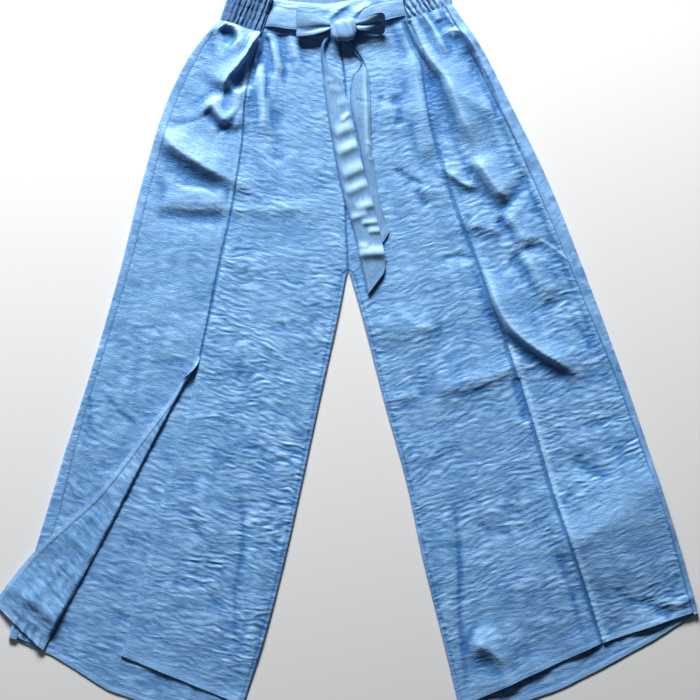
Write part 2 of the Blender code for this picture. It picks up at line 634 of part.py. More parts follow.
def loop(name, row):
    """A loop of the bow: out from the knot, round its far end and back over itself."""
    x0, y0, x1, y1, half0, half1, low0, high0, low1, high1, turn = row
    radius = (high1 - low1) / 2
    run = np.sign(x1 - x0)
    stop = x1 - run * radius
    share = np.linspace(0, 1, LOOP_ROWS + 1)[:-1]
    smooth = share**2 * (3 - 2 * share)
    angle = np.radians(np.linspace(-90, 90, LOOP_BEND))
    bend_x, bend_z = stop + run * radius * np.cos(angle), low1 + radius + radius * np.sin(angle)
    reach = x0 + (stop - x0) * share
    x = np.concatenate([reach, bend_x, reach[::-1]])
    z = np.concatenate([low0 + (low1 - low0) * smooth, bend_z, high0 + (high1 - high0) * smooth[::-1]])
    out = np.clip((x - x0) / (x1 - x0), 0, 1)
    half = half0 + (half1 - half0) * np.sin(out * np.pi / 2)
    y = y0 + (y1 - y0) * out
    s = np.linspace(-1, 1, LOOP_COLUMNS)
    middle = (low1 + high1) / 2
    across_y, lift = s * half[:, None], (z - middle)[:, None] + 0 * s
    cos, sin = np.cos(np.radians(turn) * out)[:, None], np.sin(np.radians(turn) * out)[:, None]
    grid = np.dstack([x[:, None] + 0 * s, y[:, None] + across_y * cos - lift * sin,
                      middle + across_y * -sin * run + lift * cos])
    shell(name, grid, thicken(grid, -run * TIE_WALL), TIE)


def knot():
    """The bow's knot: a rounded lump with the grooves of the cloth wrapped round it."""
    x, y, z, half_x, half_y, half_z = KNOT
    tilt = np.linspace(0, np.pi, KNOT_RINGS + 1)[1:-1, None]
    turn = np.linspace(0, 2 * np.pi, KNOT_SIDES, endpoint=False)[None]
    girth = np.sin(tilt) ** KNOT_SQUARENESS * (1 + KNOT_GROOVE * np.cos(KNOT_WRAPS * np.pi * np.cos(tilt)))
    px = x + half_x * squared(np.cos(tilt)) + 0 * turn
    py = y + half_y * girth * squared(np.cos(turn))
    pz = z + half_z * girth * squared(np.sin(turn))
    ends = [(x + half_x, y, z), (x - half_x, y, z)]
    points = np.concatenate([np.dstack([px, py, pz]).reshape(-1, 3), ends])
    index = np.arange((KNOT_RINGS - 1) * KNOT_SIDES).reshape(KNOT_RINGS - 1, KNOT_SIDES)
    first, last = len(points) - 2, len(points) - 1
    faces = []
    for c in range(KNOT_SIDES):
        n = (c + 1) % KNOT_SIDES
        faces.append((first, index[0, c], index[0, n]))
        faces.append((last, index[-1, n], index[-1, c]))
        for r in range(KNOT_RINGS - 2):
            faces.append((index[r, c], index[r + 1, c], index[r + 1, n]))
            faces.append((index[r, c], index[r + 1, n], index[r, n]))
    add_object("knot", points, faces, TIE)


def squared(a):
    """A sine or cosine drawn out towards the corners of a rounded square."""
    return np.sign(a) * np.abs(a) ** KNOT_SQUARENESS


def main():
    for existing in list(bpy.data.objects):
        bpy.data.objects.remove(existing, do_unlink=True)
    for side in ("right", "left"):
        back_panel(side)
        centre_panel(side)
    side_panel_right()
    side_panel_left()
    front_band()
    elastic_band()
    ribbon("tie_strap_right", STRAP_RIGHT, STRAP_ROWS)
    ribbon("tie_strap_left", STRAP_LEFT, STRAP_ROWS)
    for name, row in LOOPS.items():
        loop(name, row)
    knot()
    ribbon("tail_long", TAIL_LONG, TAIL_ROWS, top)
    ribbon("tail_short", TAIL_SHORT, TAIL_ROWS, top)


main()
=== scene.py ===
"""Looks of the palazzo pants: crinkled crepe panels, a gathered waist, a soft tie and the stitching.

Everything stands in the part's own frame: the floor is z = 0, +Y runs from the hems to the waist and +X points to
the wearer's left. The tables and the working are in millimetres, and MM brings the finished points to metres.
"""

import math

import bpy
import mathutils
import numpy as np
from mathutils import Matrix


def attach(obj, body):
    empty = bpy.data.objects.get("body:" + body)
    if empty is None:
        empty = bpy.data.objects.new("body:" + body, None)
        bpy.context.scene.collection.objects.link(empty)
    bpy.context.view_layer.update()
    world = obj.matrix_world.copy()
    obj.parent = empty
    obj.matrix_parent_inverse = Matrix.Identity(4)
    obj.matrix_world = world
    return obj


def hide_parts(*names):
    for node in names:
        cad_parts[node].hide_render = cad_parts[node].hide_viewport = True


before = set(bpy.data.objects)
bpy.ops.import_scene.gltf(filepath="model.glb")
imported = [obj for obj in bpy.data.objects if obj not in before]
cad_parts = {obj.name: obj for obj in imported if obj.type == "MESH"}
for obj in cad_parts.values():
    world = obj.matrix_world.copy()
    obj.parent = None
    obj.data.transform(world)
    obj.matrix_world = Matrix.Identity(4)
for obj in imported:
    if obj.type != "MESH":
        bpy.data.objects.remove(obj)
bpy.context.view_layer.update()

MM = 0.001
MIDDLE = (-1.2, 0.5, 0.0)  # of the whole outline, brought to the origin

# Cloth
WALL, BAND_WALL, TIE_WALL = 1.0, 2.0, 1.2
THINNEST = 0.3  # least wall left under a trough
DEEPER = 0.6  # added under a laid panel, so that its troughs have cloth below them
SEAM = 0.3  # gap between pieces
QUIET = 4.4  # height of the upper layer's face where no fold crosses it
LOWEST, SOFTNESS = 2.5, 0.5  # its least height, and how gently it gets there
SIDE_RISE, SIDE_REACH = 1.2, 22.0  # the folded side stands up
EDGE_ROUND = 5.0  # reach of the roundness along the inseam's folded edge
FREE_EDGE, FREE_REACH = 0.55, 42.0  # how far a free edge settles on the layer below
STEEPEST, LEAST_STEP = 2.0, 0.2  # limits where the cloth is very steep and where its points run together
RUMPLE, RUMPLE_LENGTH, RUMPLE_TURN, RUMPLE_PATCHES, RUMPLE_SLANT = 0.5, 83.0, 61.0, 0.37, 1.6
CROTCH, SLIT_TOP = 0.335, 0.515  # shares of the way down the leg
CROTCH_SPAN, SLIT_SPAN = 0.015, 0.012  # how soon the form below them is reached
SLIT_STITCHES = 0.01  # how far below the slit's top its stitches start
LINE_POINTS = 90  # of the folded side, when distances from it are taken

# Outlines of the legs, from the waist to the hem: x, y
SIDE_FOLD = {
    "right": [(-178, 457), (-215, 415), (-251, 345), (-286, 233), (-321, 93), (-362, -47), (-398, -159),
              (-432, -271), (-473, -405)],
    "left": [(148, 479), (191, 415), (227, 345), (282, 233), (338, 93), (390, -47), (428, -159), (464, -271),
             (492, -370)],
}
SLIT_LINE = {
    "right": [(-118, 439), (-135, 384), (-142, 338), (-146, 285), (-159, 200), (-178, 114), (-205, -15),
              (-234, -135), (-257, -206), (-282, -313), (-316, -433)],
    "left": [(86, 456), (104, 405), (118, 314), (148, 209), (181, 120), (227, -6), (262, -111), (290, -208),
             (323, -304), (359, -415)],
}
CENTRE_SEAM = [(-9, 427), (-1, 352), (-1, 188), (2, 110)]
CENTRE_BACK = [(-9, 467.2), *CENTRE_SEAM[1:]]  # the back reaches up behind the waistband
INSEAM = {
    "right": [(2, 110), (-12, 37), (-37, -75), (-61, -187), (-86, -299), (-115, -411), (-145, -503)],
    "left": [(2, 110), (23, 37), (52, -75), (83, -187), (107, -299), (135, -411), (158, -506)],
}
# The side seam's distance in from the folded side: share down the leg, right leg, left leg
SIDE_SEAM = [
    (0.00, 6, 12), (0.08, 12, 18), (0.35, 13, 18), (0.50, 10, 15), (0.62, 9, 10), (0.80, 17, 7), (1.00, 12, 7),
]
# How far the back's hem shows past the front's: share across from the side fold, right leg, left leg
BACK_HEM = [(0.00, 2, 2), (0.20, 10, 16), (0.45, 34, 26), (0.60, 36, 30), (0.80, 30, 26), (1.00, 25, 22)]

# The right leg's front side panel is turned back on itself below the slit's top: x, y
TURN_LINE = [(-205, -15), (-223, -46), (-285, -163), (-326, -243), (-366, -317), (-424, -425)]
TURNED_EDGE = [(-205, -15), (-212, -30), (-275, -113), (-342, -200), (-388, -244), (-439, -292), (-492, -359)]
TURN_SPAN, TURN_RADIUS = 0.045, 0.9  # share of the leg over which it rolls over, and the roll's radius
LEAST_TURN = 0.001  # share of the roll above the slit, which is next to flat
FLAP_LEAST, FLAP_REST, FLAP_REACH = 5.0, 0.8, 16.0  # least width, gap under it, reach of the roll's height over it
FLAP_SUNK, FLAP_SUNK_REACH = 1.7, 48.0  # how far the cloth lies down beside the turned edge
FLAP_STITCHES = 5.5  # in from its free edge
OVERHANG = 30.0  # reach over which it comes down to the floor past the folded side

# Folds of the upper layer: x0, y0, x1, y1, left flank, right flank, height
FOLDS = [
    # right leg, side panel
    (-118, 441, -175, 354, 7, 24, 7.5),
    (-115, 412, -158, 356, 9, 9, -3),
    (-174, 449, -152, 424, 8, 8, -4),
    (-148, 372, -155, 300, 12, 12, 4),
    (-198, 331, -169, 299, 8, 8, -4),
    (-261, 211, -163, 205, 14, 14, 3),
    (-275, 183, -166, 180, 12, 12, -2),
    # right leg, centre panel
    (-132, 436, -112, 290, 8, 8, 2.5),
    (-110, 435, -108, 376, 8, 8, -2),
    (-97, 337, -96, 253, 10, 10, -2),
    # left leg, side panel
    (211, 183, 247, 136, 9, 9, -3),
    (229, 132, 278, 62, 10, 10, -3),
    (318, -152, 368, -190, 14, 10, -1.4),
    (411, -352, 458, -382, 9, 9, -2),
    # left leg, centre panel
    (84, 418, 116, 255, 15, 12, 4),
    (68, 356, 76, 306, 9, 9, -2),
    (86, 236, 114, 194, 9, 9, -2),
    (237, -41, 253, -110, 8, 8, -3),
]

# Sharper creases that follow a curved line: its points; width of the flank to the left and to the right of the
# way it runs; height; share of the height that it keeps at its start and at its end
CREASES = [
    # right leg, side panel
    ([(-120, 440), (-131, 421), (-141, 404), (-150, 392)], 2.4, 7, 4.6, 1, 0.2),
    ([(-136, 413), (-143, 402), (-152, 390), (-163, 379), (-170, 366), (-173, 352)], 2.4, 17, 6, 0.4, 0.3),
    ([(-110, 429), (-118, 407), (-131, 384), (-145, 368), (-160, 356)], 6, 5, -4, 0.4, 0.4),
    ([(-166, 356), (-155, 356), (-142, 352)], 9, 6, 1.6, 0.3, 0.6),
    ([(-169, 320), (-155, 318), (-142, 314)], 12, 8, 1.2, 0.6, 0.3),
    ([(-197, 352), (-187, 336), (-176, 321), (-168, 312), (-160, 307)], 15, 17, 11, 0.1, 0),
    ([(-182, 443), (-170, 449), (-156, 446), (-150, 435), (-154, 421), (-163, 410)], 8, 9, 8, 0.6, 0),
    ([(-257, 317), (-254, 300), (-244, 283), (-229, 271), (-211, 260), (-192, 248), (-174, 239), (-156, 230)],
     26, 12, 12, 0.2, 0.45),
    ([(-275, 200), (-212, 192), (-149, 192), (-89, 192), (-23, 197)], 16, 10, 2.6, 0.5, 0),
    ([(-268, 250), (-233, 222), (-184, 211)], 8, 8, 1.5, 0, 0),
    ([(-168, 440), (-162, 433), (-168, 420)], 6, 6, -3, 1, 0),
    ([(-186, 443), (-180, 422), (-174, 398)], 6, 6, 1.5, 0.5, 0),
    ([(-146, 444), (-125, 438)], 4, 4, 1, 1, 1),
    ([(-341, -64), (-317, -92), (-288, -118)], 4, 4, -1.3, 0, 0),
    ([(-166, 177), (-174, 135), (-186, 79), (-195, 23)], 3, 3, -1.2, 0.3, 0.3),
    ([(-362, -68), (-358, -82), (-362, -94)], 3, 3, -1.5, 0, 0),
    # right leg, centre panel
    ([(-130, 424), (-124, 387), (-118, 366), (-116, 345), (-116, 290)], 10, 6, 3, 0.8, 0),
    ([(-110, 438), (-99, 404), (-89, 376)], 8, 4, 3, 0.9, 0),
    ([(-78, 435), (-71, 404), (-65, 379)], 7, 4, 2.4, 0.9, 0),
    ([(-153, -186), (-145, -238), (-147, -290), (-155, -345), (-156, -420)], 9, 6, -1.7, 0.1, 0.3),
    ([(-130, -215), (-125, -290), (-132, -380), (-140, -440)], 15, 14, 2.4, 0, 0.5),
    ([(-211, -173), (-197, -243), (-188, -299)], 16, 12, 1.8, 0, 0),
    ([(-117, 432), (-111, 408), (-110, 373), (-115, 328)], 3.5, 3.5, -2.2, 0.9, 0),
    ([(-107, 435), (-100, 408), (-97, 362)], 4, 4, 1.8, 0.9, 0),
    ([(-93, 435), (-88, 401), (-86, 356)], 4.5, 4.5, -1.8, 0.9, 0),
    ([(-79, 433), (-72, 398)], 5, 5, 1, 0.9, 0),
    ([(-236, -215), (-208, -257), (-174, -302)], 8, 8, -1.2, 0, 0),
    ([(-225, -310), (-186, -355), (-163, -372)], 8, 8, -1.1, 0, 0),
    ([(-188, 135), (-149, 110), (-110, 118)], 9, 6, 1.2, 0, 0),
    # left leg, side panel
    ([(90, 455), (98, 436), (107, 417), (121, 396), (138, 376), (146, 358), (153, 341), (160, 325), (166, 310),
      (173, 295), (179, 282), (186, 262)], 32, 13, 15, 0.9, 0),
    ([(80, 452), (88, 434), (97, 416), (111, 394), (126, 376)], 5, 6, -3, 1, 0.4),
    ([(136, 436), (146, 441), (158, 439), (168, 430), (180, 408)], 6, 13, 8, 0.3, 0.3),
    ([(168, 430), (184, 398), (197, 380), (211, 345)], 4, 4, 3, 0.5, 0),
    ([(104, 466), (112, 455), (122, 441), (131, 422), (139, 404)], 5, 4, 5.5, 1, 0),
    ([(121, 472), (126, 462), (130, 452)], 6, 5, 3.5, 0.6, 0.2),
    ([(138, 466), (145, 455), (152, 446)], 7, 5, 4.5, 0.6, 0.4),
    ([(153, 358), (173, 344), (192, 334), (212, 325)], 24, 12, 4, 0.7, 0.2),
    ([(139, 246), (156, 233), (170, 225), (184, 222)], 12, 5, 4.5, 0.5, 0.2),
    ([(163, 252), (176, 256), (187, 252), (198, 237), (209, 222), (220, 211), (233, 200)], 34, 12, 13, 0.25, 0.2),
    ([(213, 188), (232, 174), (243, 156), (249, 132)], 28, 15, 8, 0.1, 0.1),
    ([(247, 136), (261, 107), (272, 79), (280, 54)], 24, 15, 7.5, 0.3, 0),
    ([(166, 171), (191, 167), (218, 159)], 20, 9, 4.5, 0.3, 0.1),
    ([(188, 130), (194, 108), (202, 83), (211, 57), (226, 31), (244, 13), (268, -5), (293, -20), (316, -34),
      (340, -54)], 27, 9, 12.5, 0.2, 0),
    ([(215, 317), (243, 261), (272, 202), (299, 142), (324, 82), (352, 12), (380, -64)], 9, 3.6, 2.6, 0.8, 0),
    ([(139, 477), (150, 457), (160, 443), (171, 428), (183, 408), (194, 387), (208, 356), (226, 314), (251, 264)],
     9, 4, 6, 1, 0.3),
    ([(180, 366), (212, 303), (237, 253)], 9, 9, 1.6, 0, 0),
    ([(264, 152), (288, 139), (309, 121)], 2.5, 2.5, 1.5, 0, 1),
    ([(313, 40), (334, 15), (346, -22)], 6, 6, -1.1, 0, 0),
    ([(308, -150), (326, -166), (345, -178), (366, -182)], 10, 7, -1.3, 0, 0.2),
    ([(444, -356), (461, -360), (481, -351)], 7, 7, 3, 0.6, 1),
    ([(363, -334), (400, -355), (425, -349)], 9, 9, -1.6, 0, 0),
    ([(292, -296), (350, -256), (418, -206)], 50, 95, 11, 0.3, 0.8),
    # left leg, centre panel
    ([(44, 338), (76, 332)], 30, 46, 4.5, 0.8, 0.8),
    ([(110, -64), (145, -56), (187, -44), (229, -30)], 24, 12, 4.6, 0, 0.7),
    ([(150, -66), (182, -56), (222, -42)], 4, 3, 1.2, 0, 0.5),
    ([(33, 34), (78, 26), (131, 15)], 30, 24, 4, 0.5, 0),
    ([(40, -82), (75, -72), (110, -69)], 12, 8, 1.8, 0, 0),
    ([(82, 222), (103, 225), (131, 211)], 14, 12, 2.4, 0, 0.3),
    ([(134, -230), (141, -320), (150, -410)], 12, 13, 2.4, 0, 0.4),
    ([(89, 451), (104, 418), (114, 380), (122, 342)], 2.5, 2.5, -1.8, 1, 0.3),
    ([(75, 447), (92, 401), (104, 345), (118, 275)], 9, 6, 2.2, 1, 0),
    ([(41, 351), (58, 342), (75, 340)], 8, 8, -1.3, 0, 0),
    ([(61, 253), (92, 234), (118, 222)], 6, 6, -2.4, 0, 0.3),
    ([(125, 117), (152, 127), (177, 122)], 5, 5, -1.6, 0, 0.5),
    ([(152, 104), (158, 82), (159, 57)], 8, 8, 1.2, 0, 0),
    ([(64, 65), (92, 34), (134, 20)], 10, 7, 1.6, 0, 0),
    ([(150, -200), (158, -290), (159, -380), (167, -470)], 9, 6, -1.7, 0.1, 0.6),
    ([(168, -410), (186, -417), (204, -427), (218, -441), (227, -457)], 26, 13, 9.5, 0.1, 0.5),
    ([(288, -270), (306, -320), (322, -372), (334, -410)], 13, 8, -1.6, 0, 0.5),
    ([(173, -243), (201, -257), (236, -262)], 6, 6, -1.1, 0, 0),
]
FLAP_CREASES = [
    ([(-456, -344), (-436, -358), (-418, -374), (-406, -390)], 24, 12, 7, 0.4, 0.6),
    ([(-424, -322), (-410, -336), (-398, -352)], 4, 4, 2, 0, 0.3),
    ([(-405, -296), (-391, -312), (-380, -328)], 5, 4, 2, 0, 0.3),
    ([(-392, -262), (-375, -276), (-360, -296)], 6, 5, 1.8, 0, 0.3),
    ([(-368, -232), (-350, -246), (-336, -262)], 5, 4, 1.4, 0, 0.3),
    ([(-460, -376), (-465, -394)], 3, 3, 2, 0, 1),
    ([(-449, -384), (-454, -407)], 3, 3, 2.6, 0, 1),
    ([(-439, -388), (-443, -414)], 3, 3, 2.2, 0, 1),
    ([(-428, -398), (-433, -422)], 3.5, 3.5, 2.6, 0, 1),
    ([(-478, -352), (-455, -374), (-425, -396)], 8, 6, 2.4, 0, 0.4),
]
BAND_CREASES = [
    ([(-26, 458), (-9, 471), (8, 482)], 5, 4, 3.0, 0.3, 0),
    ([(6, 459), (22, 472), (40, 482)], 5, 4, 3.4, 0.3, 0),
    ([(36, 468), (54, 477), (74, 482)], 5, 4, 2.4, 0.3, 0.3),
    ([(-100, 468), (-79, 474), (-58, 471)], 6, 4, 1.6, 0.3, 0.3),
    ([(-44, 474), (-20, 470), (0, 476)], 5, 3, 1.2, 0.3, 0.3),
]
# Where a free hem stands up off the layer below: x, y, half size across, half size up the leg, height
LIFTS = {
    "right": [(-262, -462, 24, 22, 2.4), (-212, -484, 14, 16, 1.6), (-160, -500, 14, 18, 2.4),
              (-308, -428, 12, 14, 1.2)],
    "left": [(222, -474, 26, 20, 5.5), (268, -452, 22, 16, 3), (330, -420, 24, 18, 3), (432, -394, 26, 20, 3.5)],
}
CREASE_POINTS = 48
CREASE_CREST = 1.5  # 2 is a round crest, 1 a sharp one
CREASE_REACH = 3  # widths from its line at which nothing is left of it
FOLD_ENDS, CREASE_ENDS = 0.35, 0.3  # share of the length over which the height comes and goes

# Waistband
BAND_LOW = {
    "fold_right": SIDE_FOLD["right"][0], "seam_right": SLIT_LINE["right"][0],
    "seam_left": SLIT_LINE["left"][0], "fold_left": SIDE_FOLD["left"][0],
}
BAND_HIGH = {
    "fold_right": (-162, 505), "seam_right": (-102, 488), "seam_left": (75, 505), "fold_left": (141, 528),
}
BAND_BOTTOM = [BAND_LOW["seam_right"], CENTRE_SEAM[0], BAND_LOW["seam_left"]]
BAND_TOP = [BAND_HIGH["seam_right"], (-79, 484), (-30, 480), (-2, 484), (47, 493), BAND_HIGH["seam_left"]]
BAND_DEPTH, BAND_HEIGHT = 50.0, 5.0
BAND_SWELL, BAND_TILT = 0.6, 1.0  # how far its middle stands up, and its lower edge above its top
BAND_EDGES = {"bottom": (0.7, 1.2), "top": (0.9, 1.6), "ends": (0.7, 1.2)}  # how far each is rounded off, reach
BAND_PULL = (0.25, 26, 3.1)  # faint pulls along the band: height, length, distance across
GATHERS_ON_TOP, GATHERS_BELOW = 9, 14  # on each side of the front band, and across the back
GATHER_HEIGHT, GATHERS_BELOW_SHARE = 1.5, 0.4  # and the share of it across the back
GATHER_BOOST, GATHER_SHARE = 1.5, {"right": 0.65, "left": 1.5}  # of it beside the front band, at its shown face
GATHER_TONE = 0.4  # share of a gather's height that turns the colour, painted shade in its troughs and painted highlight on its crest
GATHER_SHADE = {"right": -0.60, "left": 0.05}  # turns it darker or lighter all along: painted shade darkens the right casing, the left is a little lighter
GATHER_SLANT = {"right": 0.10, "left": 0.42}  # how far they run across for each step up the casing
GATHER_WANDER = [(0.022, 9, 12), (0.008, 19, 5)]  # size, waves along the casing, length up it
GATHER_GRAIN = (0.7, 3.2, 16, 0.1)  # small folds on them: height, distance along, length up; where they are full
GATHER_FADE = 0.25  # share of the way in from the folded side over which they come
GATHER_DRIFT = [(0.35, 1.7, 0.15), (0.20, 3.9, 0.60)]  # uneven widths: size, waves along the length, start
GATHER_UNEVEN = (0.28, 2.3, 0.3)  # uneven heights: the same
GATHER_ROUND = 0.6  # 1 is a round crest between sharp troughs; less is flatter
CASING_CALM = (0.55, 4)  # how far its edges draw the gathers flat, and their reach
CASING_END = (0.9, 1.5)  # how far its end dips at the front band, and its reach
CHANNELS, CHANNEL_GROOVE = [13.0, 25.0, 37.0], (0.5, 1.1)  # stitched rows up from its lower edge; depth, half width
GATHER_LEAN = {"right": 0.20, "left": 0.10}  # rise of the casing from its lower edge to its top
CASING_WALL = 1.2

# Tie: one edge x, y; the other edge x, y; height of each edge; height of the fold along the middle
STRAP_RIGHT = [
    (-114, 448, -103.8, 479, 6.4, 5.9, 0.5),
    (-101, 447, -96, 477, 9.5, 6.4, 0.8),
    (-84, 444, -82, 474, 10.5, 6.4, 0.6),
    (-60, 442, -60, 468, 9, 6.1, 0.3),
    (-36, 440, -36, 457, 7, 6.1, 0.3),
    (-23, 439, -23, 449, 6.1, 6.1, 0.3),
]
STRAP_LEFT = [
    (13, 442, 13, 452, 6.2, 6.6, 0.3),
    (22, 446, 20, 467, 6.8, 7.4, 0.3),
    (34, 451, 32, 478, 8.5, 7.2, 0.4),
    (48, 454, 46, 482, 9.5, 6.8, 0.6),
    (65, 459, 62, 485, 9, 6.8, 0.6),
    (82, 463, 78, 487, 6.6, 5.9, 0.5),
]
TAIL_LONG = [
    (-25, 440, -21, 437, 3, 3, 0.6),
    (-31, 431, -26, 429, 3.4, 3.4, 1.6),
    (-35.5, 420, -30, 419, 2.8, 2.8, 3),
    (-36, 406, -30, 405, 2, 2, 3.2),
    (-35, 391, -22, 388, 1.8, 1.4, 2.6),
    (-33, 377, -11, 375, 1.8, 1, 1.8),
    (-31, 357, -2, 356, 2, 1.2, 1.2),
    (-25, 317, 8, 318, 2.2, 2.2, 1.2),
    (-19, 282, 15, 281, 2.2, 2.6, 1.4),
    (-12, 244, 25, 244, 2.2, 2.8, 1.2),
    (-4, 207, 35, 207, 2, 2.8, 1.2),
    (6, 176, 43, 176, 1.8, 2.8, 1.2),
    (15, 141, 51, 141, 1.6, 2.4, 1.2),
    (22, 110, 54, 117, 2, 2.4, 1),
    (30, 73, 52, 102, 3.4, 3.6, 0.4),
]
TAIL_SHORT = [
    (-4, 427, 3, 428, 5, 5, -1.2),
    (5, 419, 13, 416, 4.6, 5, -1.8),
    (15, 409, 21, 405, 3.2, 3.8, -1.8),
    (21, 398, 27, 394, 2, 2.6, -1.4),
    (15, 386, 30, 385, 0.9, 1.6, -0.4),
    (8, 376, 32, 376, 0.8, 1.2, 0.3),
    (4.5, 345, 33, 345, 0.8, 1, 0.6),
    (10, 317, 33.5, 317, 0.8, 1, 0.6),
    (17, 285, 34, 287, 0.8, 0.9, 0.6),
    (22, 255, 37.5, 258, 0.8, 0.8, 0.4),
    (25, 232, 41, 233, 0.8, 0.8, 0.4),
    (28, 205, 47, 205, 0.8, 0.8, 0.3),
    (34, 172, 55, 174, 0.8, 1.2, 0.3),
    (40, 152, 59, 161, 0.8, 2, 0.3),
    (46, 144, 52, 147, 0.8, 1.6, 0.2),
]
TIE_SWELLS = [(0.35, 22, 9, 81), (0.10, 9, 4.5, 83)]  # height, length, distance across, layer of the noise
TIE_GROOVE = (0.35, 1.8, 0.8)  # its stitched edges: depth, distance in, reach
TIE_TONE = (0.5, 0.35)  # height that leaves the colour as it is, and share of the rest that turns it: painted shade below that height, painted highlight above
TIE_EDGE_SHADOW = (0.5, 0.6, 1.6)  # painted shadow, darker along one edge: how far, distance in, reach
# Bow: x, y at the knot and at the far end; half width at each; low and high face at the knot, then at the far end;
# turn round its length
LOOPS = {
    "bow_loop_right": (-22.4, 448, -70, 450.5, 4.5, 17.5, 10.5, 16, 9, 17, 6),
    "bow_loop_left": (12.4, 449, 53, 450, 6, 12, 11, 17, 11, 23, -46),
}
# Pleats of the loops, which run together at the knot: place across from -1 to 1, width, height
LOOP_PLEATS = {
    "bow_loop_right": [(0.45, 0.48, 1.4), (-0.42, 0.22, -1.7), (-0.80, 0.22, 0.6)],
    "bow_loop_left": [(0.40, 0.44, 1.2), (-0.25, 0.20, -1.5), (-0.70, 0.26, 0.5)],
}
LOOP_FLARE = 0.75  # how soon a loop widens; less is sooner
LOOP_WANDER = (0.10, 2, 2.5)  # of its pleats: size, waves across, waves along
LOOP_FADE = (0.35, 0.12, 0.80, 0.5)  # less at the far end; the arch of their height along it: start, span, power
LOOP_GRAIN = (0.16, 6, 18)  # smaller folds: height, waves across, length
LOOP_TONE = (0.45, 0.15)  # share of the height that turns the colour, less this much: painted shade in the pleats' troughs and darker all over, painted highlight on their crests
KNOT = (-3.5, 441.5, 16.0, 17.5, 16.0, 8.6)  # middle x, y, z; half its length, depth and height
KNOT_SQUARENESS, KNOT_NARROWING = 0.68, 0.16  # less than 1 is squarer; how much thicker its +X end is
KNOT_LEAN, KNOT_WAVE = 0.45, 0.05  # of its wraps round it
KNOT_RISE = 0.11  # rise up the band for each step along it
KNOT_TONE = (6, 0.15, 0.3)  # how its wraps turn the colour, painted shade in their grooves, with a low middle that darkens it all over: share of their depth, middle; at its two ends
# Wraps of the knot: place along it from -1 to 1, half width, depth as a share of its girth
KNOT_WRAPS = [(-0.55, 0.12, 0.06), (0.10, 0.08, 0.035), (0.60, 0.12, 0.07)]

# Fine form of the crepe. Crinkles run across each leg, a little down towards the inseam on the right leg.
CRINKLE_ANGLE = {"right": -14.0, "left": 14.0}  # degrees up from +X
CRINKLES = [  # slant of its lines, length along, distance across, height; rounded puffs with a sharp line between
    (0.08, 26, 8.4, 0.86),
    (-0.10, 19, 7, 0.60),
]
SWELLS = [  # the same, rounded all over
    (0.40, 10, 4.6, 0.10),
    (0.00, 40, 13, 0.30),
]
CRINKLE_SHARP, CRINKLE_LEVEL = 0.006, 0.3  # how rounded that line is, and what brings their mean to nought
CRINKLE_RIPPLE = (7.6, 0.19)  # distance, height of the more regular ones
RIPPLE_WANDER, RIPPLE_PATCHES = (0.6, 20, 12), (1.1, 20, 10)  # their unevenness: size, length, distance
RIPPLE_LEVEL, RIPPLE_MOST = 0.6, 1.6  # middle and largest share of their height
CRINKLE_PATCHES = (0.5, 75, 50)  # how much their height varies over the cloth: share, length, distance
CRINKLE_WARP = [(70.0, 60.0, 8.0), (20.0, 20.0, 1.4)]  # wander: its length, its reach across, size
CRINKLE_STRENGTH = {  # share down the leg, strength
    "right": [(0.00, 0.60), (0.30, 0.76), (0.45, 1.04), (0.65, 1.34), (0.80, 1.24), (1.00, 1.14)],
    "left": [(0.00, 0.60), (0.30, 0.72), (0.50, 0.88), (0.80, 1.00), (1.00, 0.95)],
}
CRINKLE_SHARE = {"centre": 1.0, "side_right": 0.72, "side_left": 1.20, "back": 1.1, "band": 0.45}
CREASE_DEPTH = 1.3  # height from trough to crest that takes the colour from dark to light, from painted shade to painted highlight
HOLLOW_SHADING = (9.0, 0.85, 0.25)  # reach, and shares of a fold's hollows and crests that turn the colour as a crinkle does: painted shade in the hollows, painted highlight on the crests
HOLLOW_TURNS = np.arange(6) * math.pi / 3  # directions in which it is measured
SEAM_GROOVE = (1.0, 1.6)  # depth, half width
SLIT_GROOVE = {"right": 1.0, "left": 1.5}  # how much larger it is above each slit
FAINT_SEAM = 0.45  # share of it along the right leg's side
PUCKER = (0.45, 9.0, 9, 3.4)  # short puckers beside a seam: height, reach, length, distance between
# How far each draws the crinkles flat, and its reach
CALM = {"hem": (0.6, 9), "seam": (0.5, 5), "slit": (0.5, 8), "inseam": (0.4, 5)}
OPEN_EDGE_CALM = 0.3  # less of that along the open slit
CALM_STEEP, CALM_HIGH = (0.6, 1.03, 1.25), (0.5, 3, 8)  # the same for a fold's flanks and its crest; from, to
LEAST_FINE = 0.3  # share of the fine form that a settled panel keeps at least
INSEAM_IN = 5.5  # from the inseam's folded edge to its line of stitches
INSEAM_FAINT = 0.55  # how much less of a groove it has than the other seams
TUCK, TUCK_REACH = 2.0, 3.5  # how far the centre panel's edge dips under the side panel's at the closed slit
# The side panel's edge stands up there: height, distance in, reach; dip at its brim, reach of that
LAP = (1.0, 4, 4, 0.7, 1.2)
HEM = (8.0, 0.45, 0.45, 0.9)  # turned hem: depth, how far it stands up, its stitched groove's depth and half width
HEM_STEP = (-1.5, 1.0)  # how soon it stands up there
SLIT_HEM = 0.5  # share of that along the open slit
BACK_LIFT = 0.6  # how far the crinkles of the back stand up on its inner face, where that shows
BACK_SEEN = {"right": (SLIT_TOP - 0.03, SLIT_TOP + 0.02), "left": (0.955, 0.985)}  # how far down the leg that is
# Under the open slit it shows from just before the turn line until past the slit line, and in the rows by the hem
BACK_FROM, BACK_UNTIL, BACK_LAST_ROWS = (-14, -4), (2, 10), 6
BACK_EDGE, HEM_TONE = 0.5, 0.5  # share of the crinkles on its folded side; share of its hem that turns the colour, painted highlight on the raised hem and painted shade in its stitched groove
STITCH = (2.6, 3.4, 0.30)  # length, pitch and half width
STITCH_FLAT, STITCH_RISE = 0.7, 0.4  # shares of that: half its height, and how far off the cloth it stands
SHARP_ANGLE = 60.0  # degrees at which an edge isn't shaded smooth

